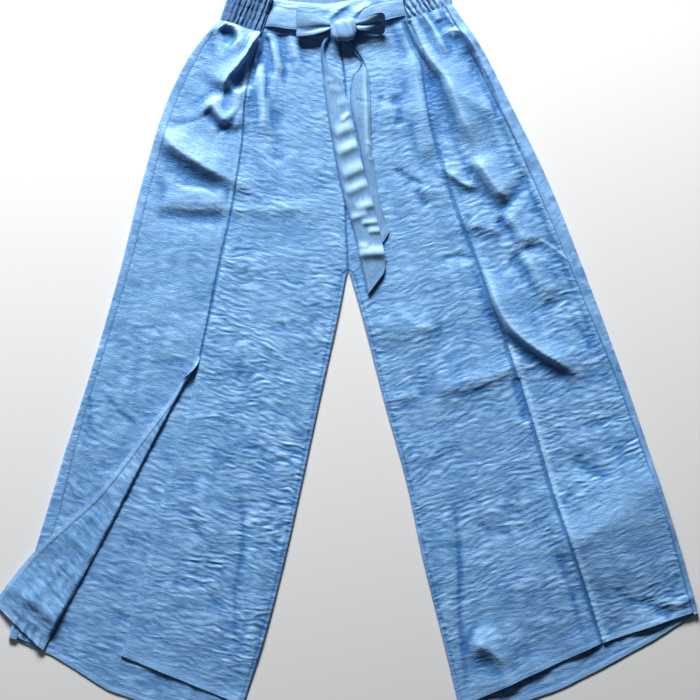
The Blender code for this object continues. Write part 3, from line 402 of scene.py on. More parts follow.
# Puffs across the tails: the crest's x0, y0, x1, y1; flank on its upper side and on its lower side, height
TAIL_CREASES = [
    (-29, 373, -17, 370, 4, 3, 0.9),
    (-25, 361, -3, 357, 6, 4, 0.9),
    (-14, 337, 2, 344, 7, 5, 1),
    (-8, 314, 6, 326, 4, 3, 2),
    (-18, 296, 12, 308, 11, 7, 3),
    (-14, 269, 20, 284, 9, 7, 3.4),
    (-6, 237, 28, 252, 12, 7, 3.4),
    (-2, 214, 32, 229, 8, 6, 2.8),
    (12, 192, 42, 200, 8, 5.5, 2.8),
    (4, 178, 30, 186, 6, 5, 2.4),
    (20, 172, 46, 174, 5, 3.5, 2.6),
    (29, 160, 50, 162, 6, 3.5, 2.4),
    (15, 140, 32, 140, 6, 3, 1.6),
    (14, 129, 59, 131, 9, 6.5, 4.2),
]
SHORT_TAIL_CREASES = [
    (25, 392, 31, 262, 3, 4, 2.2),
    (12, 346, 34, 340, 2, 2, -0.6),
    (26, 285, 40, 279, 3, 2, 0.9),
    (30, 262, 40, 260, 3, 2, 0.8),
]

# Grids
PANEL_ROWS, PANEL_COLUMNS, SIDE_COLUMNS = 761, 101, 71
COARSER = 5  # the hidden face of a panel has one point for this many of the shown one's
FLAP_ROWS, MAIN_COLUMNS, CURL_COLUMNS, FLAP_COLUMNS = 401, 46, 10, 50
BACK_ROWS = {"right": 361, "left": 221}
BACK_CROWDING = {"right": 0.7, "left": 0.5}  # share of the rows that lie below the slit's top
FLOOR_COLUMNS = {"right": 76, "left": 60}
STRIP_COLUMNS, HEM_ROWS = 8, 18
BAND_ROWS, BAND_COLUMNS = 41, 160
CASING_ROWS, POINTS_PER_GATHER = 31, 12
RIBBON_COLUMNS, STRAP_ROWS, TAIL_ROWS = 25, 61, 201
LOOP_ROWS, LOOP_BEND, LOOP_COLUMNS = 26, 23, 31
KNOT_RINGS, KNOT_SIDES = 48, 64
HALF_TURN = np.radians(np.linspace(90, 270, CURL_COLUMNS + 2))[1:]


def along(points, shares):
    """Places at the given shares of the length of the smooth curve through the points."""
    p = np.array(points, float)
    p = np.vstack([2 * p[0] - p[1], p, 2 * p[-1] - p[-2]])
    t = np.linspace(0, 1, 12, endpoint=False)[:, None]
    spans = [
        0.5 * (2 * b + (c - a) * t + (2 * a - 5 * b + 4 * c - d) * t**2 + (3 * b - a - 3 * c + d) * t**3)
        for a, b, c, d in zip(p, p[1:], p[2:], p[3:])
    ]
    dense = np.vstack(spans + [p[-2:-1]])
    length = np.append(0, np.cumsum(np.linalg.norm(np.diff(dense, axis=0), axis=1)))
    wanted = np.asarray(shares) * length[-1]
    return np.stack([np.interp(wanted, length, column) for column in dense.T], axis=-1)


def column(table, share, index):
    """One column of a table, read between its rows at the given shares."""
    rows = np.array(table, float)
    return np.interp(share, rows[:, 0], rows[:, index])


def smooth(x, low, high):
    """Rises gently from 0 at low to 1 at high."""
    t = np.clip((x - low) / (high - low), 0, 1)
    return t * t * (3 - 2 * t)


def bump(x, width, power=2):
    """A rounded hump, 1 at x = 0."""
    return np.exp(-(np.abs(x / width) ** power))


def unit(vectors):
    """The vectors at length 1."""
    return vectors / np.maximum(np.linalg.norm(vectors, axis=-1, keepdims=True), 1e-9)


def distance_in(side, x, y):
    """How far a place lies inside a leg's folded side; negative outside it."""
    line = along(SIDE_FOLD[side], np.linspace(0, 1, LINE_POINTS))
    gap = np.hypot(x[..., None] - line[:, 0], y[..., None] - line[:, 1])
    nearest = gap.argmin(axis=-1)
    ahead = line[np.minimum(nearest + 1, LINE_POINTS - 1)] - line[np.maximum(nearest - 1, 0)]
    cross = ahead[..., 0] * (y - line[nearest, 1]) - ahead[..., 1] * (x - line[nearest, 0])
    sign = 1 if side == "right" else -1
    return sign * cross / np.hypot(ahead[..., 0], ahead[..., 1])


def blend(first, second, share):
    """The first value, the second, or what lies between, by a share from 0 to 1."""
    return first * (1 - share) + second * share


def xy(points):
    """The two coordinates across the floor."""
    return points[..., 0], points[..., 1]


def beside(x, y, x0, y0, x1, y1):
    """Share of the way along a straight line, and distance to the left of it, for each place."""
    run = np.hypot(x1 - x0, y1 - y0)
    ux, uy = (x1 - x0) / run, (y1 - y0) / run
    return ((x - x0) * ux + (y - y0) * uy) / run, (y - y0) * ux - (x - x0) * uy


def folds(x, y):
    """Sum of the folds at a place: each fades towards its two ends and away from its line."""
    total = np.zeros_like(x)
    for *line, left, right, height in FOLDS:
        t, off = beside(x, y, *line)
        ends = smooth(1 - np.abs(2 * t - 1), 0, FOLD_ENDS)
        total += height * ends * bump(off, np.where(off > 0, left, right))
    return total


def creases(x, y, table=CREASES):
    """Sum of the sharper creases at a place."""
    total = np.zeros_like(x)
    for path, left, right, height, start, end in table:
        line = along(path, np.linspace(0, 1, CREASE_POINTS))
        wide = max(left, right)
        low, high = line.min(axis=0) - CREASE_REACH * wide, line.max(axis=0) + CREASE_REACH * wide
        near = (x > low[0]) & (x < high[0]) & (y > low[1]) & (y < high[1])
        if not near.any():
            continue
        place = np.stack([x[near], y[near]], axis=-1)
        nearest = np.linalg.norm(place[:, None] - line, axis=-1).argmin(axis=-1).clip(1, CREASE_POINTS - 2)
        ahead = (line[nearest + 1] - line[nearest - 1]) / 2
        step = np.linalg.norm(ahead, axis=-1)
        away = place - line[nearest]
        slide = (away * ahead).sum(axis=-1) / step**2
        between = (nearest > 1) & (nearest < CREASE_POINTS - 2)
        t = (nearest + np.where(between, slide.clip(-0.5, 0.5), slide)) / (CREASE_POINTS - 1)
        off = (ahead[:, 0] * away[:, 1] - ahead[:, 1] * away[:, 0]) / step
        past = np.maximum(np.maximum(-t, t - 1), 0) * (CREASE_POINTS - 1) * step
        kept = (start + (1 - start) * smooth(t, 0, CREASE_ENDS)) * (end + (1 - end) * smooth(1 - t, 0, CREASE_ENDS))
        total[near] += height * kept * bump(past, wide) * bump(off, np.where(off > 0, left, right), CREASE_CREST)
    return total


def rumple(x, y):
    """Gentle waves of the cloth."""
    wave = 2 * np.pi * y / RUMPLE_LENGTH
    strength = np.cos(RUMPLE_PATCHES * wave - RUMPLE_SLANT * x / RUMPLE_TURN)
    return RUMPLE * np.sin(wave + np.sin(x / RUMPLE_TURN)) * strength


def top(side, x, y):
    """Height of the upper layer's face at a place on a leg."""
    rise = SIDE_RISE * bump(np.maximum(distance_in(side, x, y), 0), SIDE_REACH)
    over = (QUIET + rise + folds(x, y) + creases(x, y) + rumple(x, y) - LOWEST) / SOFTNESS
    return LOWEST + SOFTNESS * np.logaddexp(0, over)


def hollow_shading(side, z, x, y):
    """How far a place lies below the cloth round it, which darkens the colour there as painted shade in a fold's
    hollows; less where it stands above it, which lightens the colour as a painted highlight on its crest.
    """
    reach, share, crest_share = HOLLOW_SHADING
    ring = [top(side, x + reach * math.cos(turn), y + reach * math.sin(turn)) for turn in HOLLOW_TURNS]
    below = sum(ring) / len(ring) - z
    return below * np.where(below > 0, share, crest_share)


def steepness(z, x, y):
    """How much thicker a sloping wall is when measured straight down."""
    down = np.hypot(np.gradient(x, axis=0), np.gradient(y, axis=0))
    over = np.hypot(np.gradient(x, axis=1), np.gradient(y, axis=1))
    slope = (np.gradient(z, axis=0) / down) ** 2 + (np.gradient(z, axis=1) / np.maximum(over, LEAST_STEP)) ** 2
    return np.minimum(np.sqrt(1 + slope), STEEPEST)


LATTICE = np.random.default_rng(7).uniform(0, 2 * np.pi, (256, 256))


def noise(u, v, layer=0):
    """Smooth unevenness, about -1 to 1, with one swell for each unit of u and v."""
    i, j = np.floor(u).astype(int), np.floor(v).astype(int)
    fu, fv = u - i, v - j
    su, sv = (f**3 * (f * (f * 6 - 15) + 10) for f in (fu, fv))

    def corner(di, dj):
        angle = LATTICE[(i + di + 37 * layer) % 256, (j + dj + 91 * layer) % 256]
        return np.cos(angle) * (fu - di) + np.sin(angle) * (fv - dj)

    upper, lower = (blend(corner(0, dj), corner(1, dj), su) for dj in (0, 1))
    return 1.5 * blend(upper, lower, sv)


def cloth_axes(side, x, y):
    """A place on the cloth, measured along and across its crinkles."""
    angle = math.radians(CRINKLE_ANGLE[side])
    return x * math.cos(angle) + y * math.sin(angle), y * math.cos(angle) - x * math.sin(angle)


def crinkle(a, b, layer=0):
    """Height of the crinkles at a place on the cloth, about -0.8 to 0.8 mm."""
    for index, (length, reach, size) in enumerate(CRINKLE_WARP):
        b = b + size * noise(a / length, b / reach, layer + 11 + index)
    distance, height = CRINKLE_RIPPLE
    wander, patches = (size * noise(a / length, b / reach, layer + 3 + index)
                       for index, (size, length, reach) in enumerate((RIPPLE_WANDER, RIPPLE_PATCHES)))
    ripple = np.sin(2 * np.pi * (b / distance + wander))
    total = height * ripple * np.clip(RIPPLE_LEVEL + patches, 0, RIPPLE_MOST)
    for index, (slant, length, distance, height) in enumerate(CRINKLES + SWELLS):
        line = noise((a + slant * b) / length, (b - slant * a) / distance, layer + 21 + index)
        if index < len(CRINKLES):
            line = np.sqrt(line * line + CRINKLE_SHARP) - CRINKLE_LEVEL
        total = total + height * line
    share, length, distance = CRINKLE_PATCHES
    return total * (1 + share * noise(a / length, b / distance, layer + 41))


def strength(side, v):
    """How strong a leg's crinkles are at each share down it."""
    return column(CRINKLE_STRENGTH[side], v, 1)[:, None]


def puckers(a, b, from_seam):
    """Short puckers beside a seam."""
    height, reach, length, distance = PUCKER
    return height * bump(from_seam, reach) * noise(a / length, b / distance, 51)


def groove(from_seam, wider=1.0):
    """The sunken line of a seam."""
    depth, width = SEAM_GROOVE
    return -depth * wider * bump(from_seam, width * wider)


def hem_form(from_edge):
    """A turned hem: thicker to its line of stitches, which lies in a groove."""
    depth, height, groove_depth, groove_width = HEM
    return height * smooth(depth - from_edge, *HEM_STEP) - groove_depth * bump(from_edge - depth, groove_width)


def calmed(*edges):
    """Share of the crinkles left beside edges: distances from each, how far it draws them flat, its reach."""
    left = 1
    for distance, share, reach in edges:
        left = left - share * bump(distance, reach)
    return left


def lines(side, v, centre=CENTRE_SEAM):
    """The leg's three lines: side fold, slit line, and centre seam with inseam."""
    upper = along(centre, np.minimum(v / CROTCH, 1))
    lower = along(INSEAM[side], np.maximum(v - CROTCH, 0) / (1 - CROTCH))
    inner = np.where((v < CROTCH)[:, None], upper, lower)
    return along(SIDE_FOLD[side], v), along(SLIT_LINE[side], v), inner


def crowded(count, share=0.45):
    """Shares from 0 to 1, closer together near both ends."""
    s = np.linspace(0, 1, count)
    return blend(s, (1 - np.cos(np.pi * s)) / 2, share)


def across(start, end, share):
    """Straight rows of places from one line to another, half a seam's gap short of each."""
    way = unit(end - start)[:, None] * SEAM / 2
    return blend(start[:, None] + way, end[:, None] - way, np.asarray(share)[None, :, None])


def side_seam(side, v, fold, slit):
    """Places on the side seam, the way in from the folded side, and how far in the seam is."""
    inward = unit(slit - fold)
    inset = column(SIDE_SEAM, v, 1 if side == "right" else 2)
    return fold + inward * inset[:, None], inward, inset


def away(start, way, reach):
    """Places at distances from the start of each row, along its way."""
    return start[:, None] + way[:, None] * reach[..., None]


def half_turn(middle, radius):
    """Reach and height round a folded side, from its top to the floor."""
    return (middle + radius * way for way in (np.cos(HALF_TURN), np.sin(HALF_TURN)))


def arc(points, axis):
    """Distance travelled along one axis of a grid of points."""
    step = np.linalg.norm(np.diff(points, axis=axis), axis=-1)
    start = np.zeros_like(np.take(step, [0], axis=axis))
    return np.cumsum(np.concatenate([start, step], axis=axis), axis=axis)


def to_hem(points):
    """Distance from each place of a grid to the end of its column."""
    down = arc(points, 0)
    return down[-1:] - down


def past_slit_top(v):
    """0 above the slit's top and 1 below it."""
    return smooth(v, SLIT_TOP, SLIT_TOP + SLIT_SPAN)[:, None]


def settled(side, v, plan, open_slit):
    """Share of its height that a panel keeps near its hem, and near its edge along an open slit."""
    near = bump(to_hem(plan), FREE_REACH)
    if open_slit:
        below = np.clip((v - SLIT_TOP) / TURN_SPAN, 0, 1)[:, None]
        near = np.maximum(near, below * bump(arc(plan, 1), FREE_REACH))
    from_side = np.maximum(distance_in(side, *xy(plan)), 0)
    return 1 - FREE_EDGE * near * (1 - bump(from_side, FREE_REACH))


def lifts(side, x, y):
    """How far a free hem stands up off the layer below."""
    return sum(height * bump(x - x0, wide) * bump(y - y0, deep) for x0, y0, wide, deep, height in LIFTS[side])


def normals(grid):
    """Directions square to a grid of points."""
    return unit(np.cross(np.gradient(grid, axis=0), np.gradient(grid, axis=1)))


def new_object(name, points, faces, place=None, painted_shading=None):
    """An object from points in millimetres. place is each point's on the flat cloth, and the shading value runs from
    0 in a trough, painted shade, to 1 on a crest, painted highlight."""
    mesh = bpy.data.meshes.new(name)
    mesh.from_pydata(((points - MIDDLE) * MM).tolist(), [], faces)
    mesh.shade_smooth()
    if place is not None:
        used = np.empty(len(mesh.loops), np.int32)
        mesh.loops.foreach_get("vertex_index", used)
        mesh.uv_layers.new(name="cloth").data.foreach_set("uv", (place * MM)[used].astype(np.float32).ravel())
        mesh.attributes.new("painted_shading", "FLOAT", "POINT").data.foreach_set("value", painted_shading.astype(np.float32))
    made = bpy.data.objects.new(name, mesh)
    bpy.context.collection.objects.link(made)
    return made


def closed_mesh(name, face, under, place, painted_shading):
    """A wall between two grids of points, closed round its edge. The second grid may be a whole number of times
    coarser than the first."""
    (rows, columns), (low_rows, low_columns) = face.shape[:2], under.shape[:2]
    step_r, step_c = (rows - 1) // (low_rows - 1), (columns - 1) // (low_columns - 1)
    index = np.arange(rows * columns).reshape(rows, columns)
    low = rows * columns + np.arange(low_rows * low_columns).reshape(low_rows, low_columns)
    upper = np.stack([index[:-1, :-1], index[:-1, 1:], index[1:, 1:], index[1:, :-1]], -1).reshape(-1, 4)
    lower = np.stack([low[:-1, :-1], low[1:, :-1], low[1:, 1:], low[:-1, 1:]], -1).reshape(-1, 4)
    faces = upper.tolist() + lower.tolist()
    for edge, under_edge, step in (
        (index[0], low[0], step_c), (index[:, -1], low[:, -1], step_r),
        (index[-1, ::-1], low[-1, ::-1], step_c), (index[::-1, 0], low[::-1, 0], step_r),
    ):
        for spot in range(len(under_edge) - 1):
            run = edge[spot * step:(spot + 1) * step + 1]
            faces.append([*run[::-1].tolist(), int(under_edge[spot]), int(under_edge[spot + 1])])
    coarse = slice(None, None, step_r), slice(None, None, step_c)
    if (normals(face[coarse]) * (face[coarse] - under)).sum() > 0:
        faces = [f[::-1] for f in faces]
    both = np.concatenate([face.reshape(-1, 3), under.reshape(-1, 3)])
    place = np.concatenate([place.reshape(-1, 2), place[coarse].reshape(-1, 2)])
    made = new_object(name, both, faces, place, np.concatenate([painted_shading.ravel(), painted_shading[coarse].ravel()]))
    made.data.set_sharp_from_angle(angle=math.radians(SHARP_ANGLE))
    return made


def as_painted_shading(height):
    """The crinkles' height as a share from trough to crest, for the painted shading: painted shade in the trough,
    painted highlight on the crest.
    """
    return np.clip(0.5 + height / CREASE_DEPTH, 0, 1)


def laid(name, side, plan, kept, fine):
    """A panel that lies on the layer below: its face follows the folds, and its wall hangs under it."""
    x, y = xy(plan)
    z = top(side, x, y)
    steep = steepness(z, x, y)
    for (most, *span), how_far in ((CALM_STEEP, steep), (CALM_HIGH, z - QUIET)):
        fine = fine * (1 - most * smooth(how_far, *span))
    # Painted shading: the colour darkens in the crinkles' troughs, the seams' grooves and the folds' hollows, and
    # lightens on crests.
    shade = as_painted_shading(fine - hollow_shading(side, z, x, y))
    wall = WALL * steep
    lowest = WALL + SEAM + wall
    z = lowest + (z - lowest) * kept + lifts(side, x, y)
    low = np.maximum(z - wall - DEEPER, WALL + SEAM)
    face = np.dstack([x, y, np.maximum(z + fine, low + THINNEST)])
    under = np.dstack([x, y, low])[::COARSER, ::COARSER]
    return closed_mesh(name, face, under, np.dstack(cloth_axes(side, x, y)), shade), face


def centre_panel(side):
    """Front centre panel, from the slit line to the centre seam and inseam."""
    v = np.linspace(0, 1, PANEL_ROWS)
    _, slit, inner = lines(side, v)
    plan = across(slit, inner, crowded(PANEL_COLUMNS))
    from_slit, from_hem = arc(plan, 1), to_hem(plan)
    from_inner = from_slit[:, -1:] - from_slit
    leg = smooth(v, CROTCH, CROTCH + CROTCH_SPAN)[:, None]
    opened, shut = past_slit_top(v) * (side == "right"), past_slit_top(v) * (side == "left")
    from_stitches = from_inner - INSEAM_IN * leg

    a, b = cloth_axes(side, *xy(plan))
    share, reach = CALM["seam"]
    calm = calmed((from_slit, share - OPEN_EDGE_CALM * opened, reach), (from_inner, *CALM["inseam"]),
                  (from_hem, *CALM["hem"]))
    fine = crinkle(a, b) * calm * strength(side, v) * CRINKLE_SHARE["centre"]
    fine += puckers(a, b, from_slit) * (1 - opened) + puckers(a, b, from_stitches)
    fine += groove(from_slit, SLIT_GROOVE[side]) * (1 - opened) + groove(from_stitches) * (1 - INSEAM_FAINT * leg)
    fine += hem_form(from_hem) + SLIT_HEM * opened * hem_form(from_slit)
    fine -= TUCK * bump(from_slit, TUCK_REACH) * shut
    rounded = np.sqrt(1 - (1 - np.clip(from_inner / EDGE_ROUND, 0, 1)) ** 2)
    kept = settled(side, v, plan, side == "right") * (1 - leg * (1 - rounded))
    made, face = laid(f"front_centre_panel_{side}", side, plan, kept, fine * np.maximum(kept, LEAST_FINE))
    stitch_row(f"front_hem_stitches_centre_{side}", [inside(face, "hem", HEM[0])])
    if side == "right":
        open_edge = face[int(PANEL_ROWS * (SLIT_TOP + SLIT_STITCHES)):]
        stitch_row("slit_edge_stitches", [inside(open_edge, "first", HEM[0])])
    return made


def side_panel_left():
    """Left front side panel, from the side seam to the closed slit."""
    v = np.linspace(0, 1, PANEL_ROWS)
    fold, slit, _ = lines("left", v)
    plan = across(side_seam("left", v, fold, slit)[0], slit, crowded(SIDE_COLUMNS))
    from_seam, from_hem = arc(plan, 1), to_hem(plan)
    from_slit = from_seam[:, -1:] - from_seam
    shut = past_slit_top(v)

    a, b = cloth_axes("left", *xy(plan))
    calm = calmed((from_slit, *CALM["slit"]), (from_seam, *CALM["seam"]), (from_hem, *CALM["hem"]))
    fine = crinkle(a, b, 3) * calm * strength("left", v) * CRINKLE_SHARE["side_left"]
    fine += puckers(a, b, from_slit) + puckers(a, b, from_seam) + groove(from_seam)
    fine += groove(from_slit, SLIT_GROOVE["left"]) * (1 - shut) + hem_form(from_hem)
    height, place, reach, dip, dip_reach = LAP
    fine += shut * (height * bump(from_slit - place, reach) - dip * bump(from_slit, dip_reach))
    made, face = laid("front_side_panel_left", "left", plan, settled("left", v, plan, False), fine)
    stitch_row("front_hem_stitches_side_left", [inside(face, "hem", HEM[0])])
    return made


def side_panel_right():
    """Right front side panel, which rolls over at the slit's top and lies turned back below it."""
    v = np.linspace(0, 1, FLAP_ROWS)
    fold, slit, _ = lines("right", v)
    open_share = np.clip((v - SLIT_TOP) / (1 - SLIT_TOP), 0, 1)
    turn = np.pi * np.clip((v - SLIT_TOP) / TURN_SPAN, LEAST_TURN, 1)
    turned = ((1 - np.cos(turn)) / 2)[:, None]
    roll = np.pi * TURN_RADIUS
    line, edge = along(TURN_LINE, open_share), along(TURNED_EDGE, open_share)
    seam, inward, _ = side_seam("right", v, fold, slit)
    start_open = line - inward * (TURN_RADIUS + WALL)
    start_shut = slit - inward * (roll + FLAP_LEAST + SEAM / 2)
    start = blend(start_shut, start_open, turned)

    share = np.linspace(0, 1, MAIN_COLUMNS)[None, :, None]
    main = blend(seam[:, None] + inward[:, None] * SEAM / 2, start[:, None], share)
    from_turn = np.linalg.norm(main - start[:, None], axis=-1)
    sunk = FLAP_SUNK * turned * bump(from_turn, FLAP_SUNK_REACH)
    resting = top("right", *xy(main))
    # painted shading of the folds: darker in their hollows, lighter on their crests
    deep = hollow_shading("right", resting, *xy(main))
    main = np.dstack([main, np.maximum(resting - sunk, LOWEST)])

    radius = (roll / turn)[:, None]
    angle = turn[:, None] * np.linspace(0, 1, CURL_COLUMNS + 1)[1:]
    out, up = radius * np.sin(angle), radius * (1 - np.cos(angle))
    curl_plan = away(start, inward, out)
    curl = np.dstack([curl_plan, blend(top("right", *xy(curl_plan)), main[:, -1:, 2] + up, turned)])

    flat_width = np.linalg.norm(edge - line, axis=1)
    width = np.maximum(flat_width, FLAP_LEAST)
    back = (edge - line) / np.maximum(flat_width, 1e-6)[:, None]
    back[flat_width < FLAP_LEAST] = back[flat_width >= FLAP_LEAST][0]
    heading = blend(inward, back, turned)
    reach = width[:, None] * np.linspace(0, 1, FLAP_COLUMNS + 1)[1:]
    flap_plan = away(curl_plan[:, -1], heading, reach)
    held = up[:, -1:] * bump(reach, FLAP_REACH)
    sunk = FLAP_SUNK * turned * bump(reach, FLAP_SUNK_REACH)
    support = np.maximum(resting_height(*xy(flap_plan)) - sunk, 0)
    worn = creases(*xy(flap_plan), FLAP_CREASES) * turned
    flap = np.dstack([flap_plan, support + worn + (FLAP_REST + held) * turned + reach * np.sin(turn)[:, None]])
    grid = np.concatenate([main, curl, flap], axis=1)

    # The cloth as it was cut, before it was turned back
    from_seam, from_hem = arc(grid, 1), to_hem(grid)
    from_edge = from_seam[:, -1:] - from_seam
    a, b = cloth_axes("right", *xy(away(seam, inward, from_seam)))
    opened = past_slit_top(v)
    calm = calmed((from_seam, *CALM["seam"]), (from_edge, *CALM["slit"]), (from_hem, *CALM["hem"]))
    fine = crinkle(a, b, 6) * calm * strength("right", v) * CRINKLE_SHARE["side_right"]
    fine += puckers(a, b, from_seam) + FAINT_SEAM * groove(from_seam) + puckers(a, b, from_edge) * (1 - opened)
    fine += groove(from_edge) * (1 - opened)
    turned_over = (np.arange(grid.shape[1]) >= MAIN_COLUMNS + CURL_COLUMNS // 2)[None] * opened
    hems = hem_form(from_hem) + opened * hem_form(from_edge)
    fine += hems * (1 - 2 * turned_over)
    # Painted shading: lighter on the flap's hem strip as painted highlight, darker in the folds' hollows of the main
    # part as painted shade.
    shade = fine + 2 * hems * turned_over - np.pad(deep, ((0, 0), (0, grid.shape[1] - MAIN_COLUMNS)))
    up_way = normals(grid)
    up_way *= np.sign(up_way[:1, :1, 2:])
    face = grid + up_way * fine[..., None]
    under = face - up_way * WALL
    made = closed_mesh("front_side_panel_right", face, under, np.dstack([a, b]), as_painted_shading(shade))
    shown = under[int(FLAP_ROWS * (SLIT_TOP + TURN_SPAN)):, MAIN_COLUMNS + CURL_COLUMNS:]
    stitch_row("flap_stitches", [inside(shown, "last", FLAP_STITCHES), inside(shown, "hem", HEM[0])])
    stitch_row("front_hem_stitches_side_right", [inside(face[:, :MAIN_COLUMNS], "hem", HEM[0])])
    return made


def resting_height(x, y):
    """Height that the turned flap rests on: the leg, and the floor past its folded side."""
    inside_by = distance_in("right", x, y)
    return SEAM + (top("right", x, y) - SEAM) * bump(np.minimum(inside_by, 0), OVERHANG)


def back_panel(side):
    """Back panel, flat on the floor, with its side folded over to the side seam on the front."""
    rows = BACK_ROWS[side]
    v = np.interp(np.linspace(0, 1, rows), [0, 1 - BACK_CROWDING[side], 1], [0, SLIT_TOP, 1])
    fold, slit, inner = lines(side, v, CENTRE_BACK)
    seam, span, inset = side_seam(side, v, fold, slit)
    radius = top(side, *xy(seam)) / 2
    far = np.maximum(inset - SEAM / 2, radius + SEAM)
    strip = blend(far[:, None], radius[:, None], np.linspace(0, 1, STRIP_COLUMNS))
    strip_z = top(side, *xy(away(fold, span, strip)))
    radius = strip_z[:, -1:] / 2

    last = inner - unit(inner - fold) * SEAM / 2
    share = np.linspace(0, 1, FLOOR_COLUMNS[side] + 1)[1:, None]
    walls = []
    for wall in (0, WALL):
        curl, curl_z = half_turn(radius, radius - wall)
        plan = away(fold, span, np.concatenate([strip, curl], axis=1))
        floor = blend(plan[:, -1:], last[:, None], share)
        z = np.concatenate([strip_z - wall, curl_z, 0 * floor[..., 0] + wall], axis=1)
        walls.append(np.dstack([np.concatenate([plan, floor], axis=1), z]))
    outer, inner_face = walls

    down = unit(fold[-1] - fold[-2])
    hem_across = np.linalg.norm(outer[-1, :, :2] - fold[-1], axis=1) / np.linalg.norm(inner[-1] - fold[-1])
    drop = column(BACK_HEM, hem_across, 1 if side == "right" else 2)
    steps = np.linspace(0, 1, HEM_ROWS + 1)[1:, None] * drop
    below = np.dstack([down[0] * steps, down[1] * steps, 0 * steps])
    outer, inner_face = (np.concatenate([wall, wall[-1:] + below]) for wall in (outer, inner_face))

    # The cloth as it was cut, before its side was folded over
    def to_hem_rows(given):
        """Goes on with the last row down the hem."""
        return np.concatenate([given, np.repeat(given[-1:], HEM_ROWS, axis=0)])[:, None]

    from_seam, from_hem = arc(outer, 1), to_hem(outer)
    before = STRIP_COLUMNS + CURL_COLUMNS
    cut = outer[..., :2].copy()
    folded = (from_seam[:, before:before + 1] - from_seam[:, :before])[..., None]
    cut[:, :before] = outer[:, before:before + 1, :2] - to_hem_rows(span) * folded
    a, b = cloth_axes(side, *xy(cut))
    v = np.concatenate([v, np.ones(HEM_ROWS)])[:, None]
    seen = smooth(v, *BACK_SEEN[side])
    floor_part = (np.arange(outer.shape[1]) > before)[None]
    if side == "right":
        opened = np.clip((v[:rows, 0] - SLIT_TOP) / (1 - SLIT_TOP), 0, 1)
        near, far = (to_hem_rows(np.linalg.norm(line - fold, axis=1)) for line in (along(TURN_LINE, opened), slit))
        folded_side = np.concatenate([fold, outer[rows:, 0, :2]])
        from_fold = np.linalg.norm(outer[..., :2] - folded_side[:, None], axis=-1)
        shown = smooth(from_fold - near, *BACK_FROM) * (1 - smooth(from_fold - far, *BACK_UNTIL))
        past_hem = (np.arange(len(outer)) >= rows - BACK_LAST_ROWS)[:, None]
        seen = seen * np.maximum(shown, past_hem)
    fine = crinkle(a, b, 9) * calmed((from_hem, *CALM["hem"])) * calmed((from_seam, *CALM["seam"]))
    lift = np.maximum(BACK_LIFT + fine * CRINKLE_SHARE["back"], 0) + hem_form(from_hem)
    inner_face[..., 2] += lift * seen * floor_part
    sunk = groove(from_seam) * (FAINT_SEAM if side == "right" else 1)
    edge = (puckers(a, b, from_seam) + sunk + BACK_EDGE * fine) * (~floor_part)
    outer[..., 2] += edge * smooth(outer[..., 2], WALL, 2 * WALL)
    # Painted shading: darker in the crinkles' troughs, lighter on the raised hem.
    shade = as_painted_shading(fine + HEM_TONE * hem_form(from_hem))
    made = closed_mesh(f"back_leg_{side}", outer, inner_face, np.dstack([a, b]), shade)
    stitch_row(f"back_hem_stitches_{side}", [inside(inner_face[:, before + 1:], "hem", HEM[0])])
    return made


def front_band():
    """Flat, stiffened front of the waistband."""
    half = BAND_COLUMNS // 2
    low = np.concatenate([np.linspace(*BAND_BOTTOM[:2], half + 1), np.linspace(*BAND_BOTTOM[1:], half + 1)[1:]])
    high = along(BAND_TOP, np.linspace(0, 1, len(low)))
    share = np.linspace(0, 1, BAND_ROWS)[:, None, None]
    trim = SEAM / np.linalg.norm(high - low, axis=1).mean()
    plan = low + (high - low) * (trim + share * (1 - trim))
    ends = SEAM * np.cos(np.linspace(0, np.pi, len(low)))
    plan = plan + np.stack([ends, np.zeros_like(ends)], axis=-1)
    x, y = xy(plan)
    swell = BAND_SWELL * np.sin(np.pi * share[..., 0]) * np.ones(len(low))
    z = BAND_HEIGHT + swell - BAND_TILT * (share[..., 0] - 0.5) + creases(x, y, BAND_CREASES)
    up, over = arc(plan, 0), arc(plan, 1)
    edges = sum(BAND_EDGES[key][0] * bump(distance, BAND_EDGES[key][1]) for key, distance in (
        ("bottom", up), ("top", up[-1:] - up), ("ends", over), ("ends", over[:, -1:] - over)))
    height, length, distance = BAND_PULL
    fine = CRINKLE_SHARE["band"] * crinkle(x, y, 4) + height * noise(x / length, y / distance, 61)
    face = np.dstack([plan, z + fine - edges])
    under = np.dstack([plan, z - BAND_WALL])[::COARSER, ::COARSER]
    # Painted shading from the crinkles: darker in their troughs, lighter on their crests.
    return closed_mesh("waistband_front_panel", face, under, plan, as_painted_shading(fine))


def gather(s, waves):
    """Waves of uneven width and height along a share of a length."""
    drift = sum(size * np.sin(2 * np.pi * (turns * s + start)) for size, turns, start in GATHER_DRIFT)
    size, turns, start = GATHER_UNEVEN
    puff = 2 * np.abs(np.cos(np.pi * waves * s + drift / 2)) ** GATHER_ROUND - 1
    return puff * (1 - size + size * np.sin(2 * np.pi * (turns * s + start)))


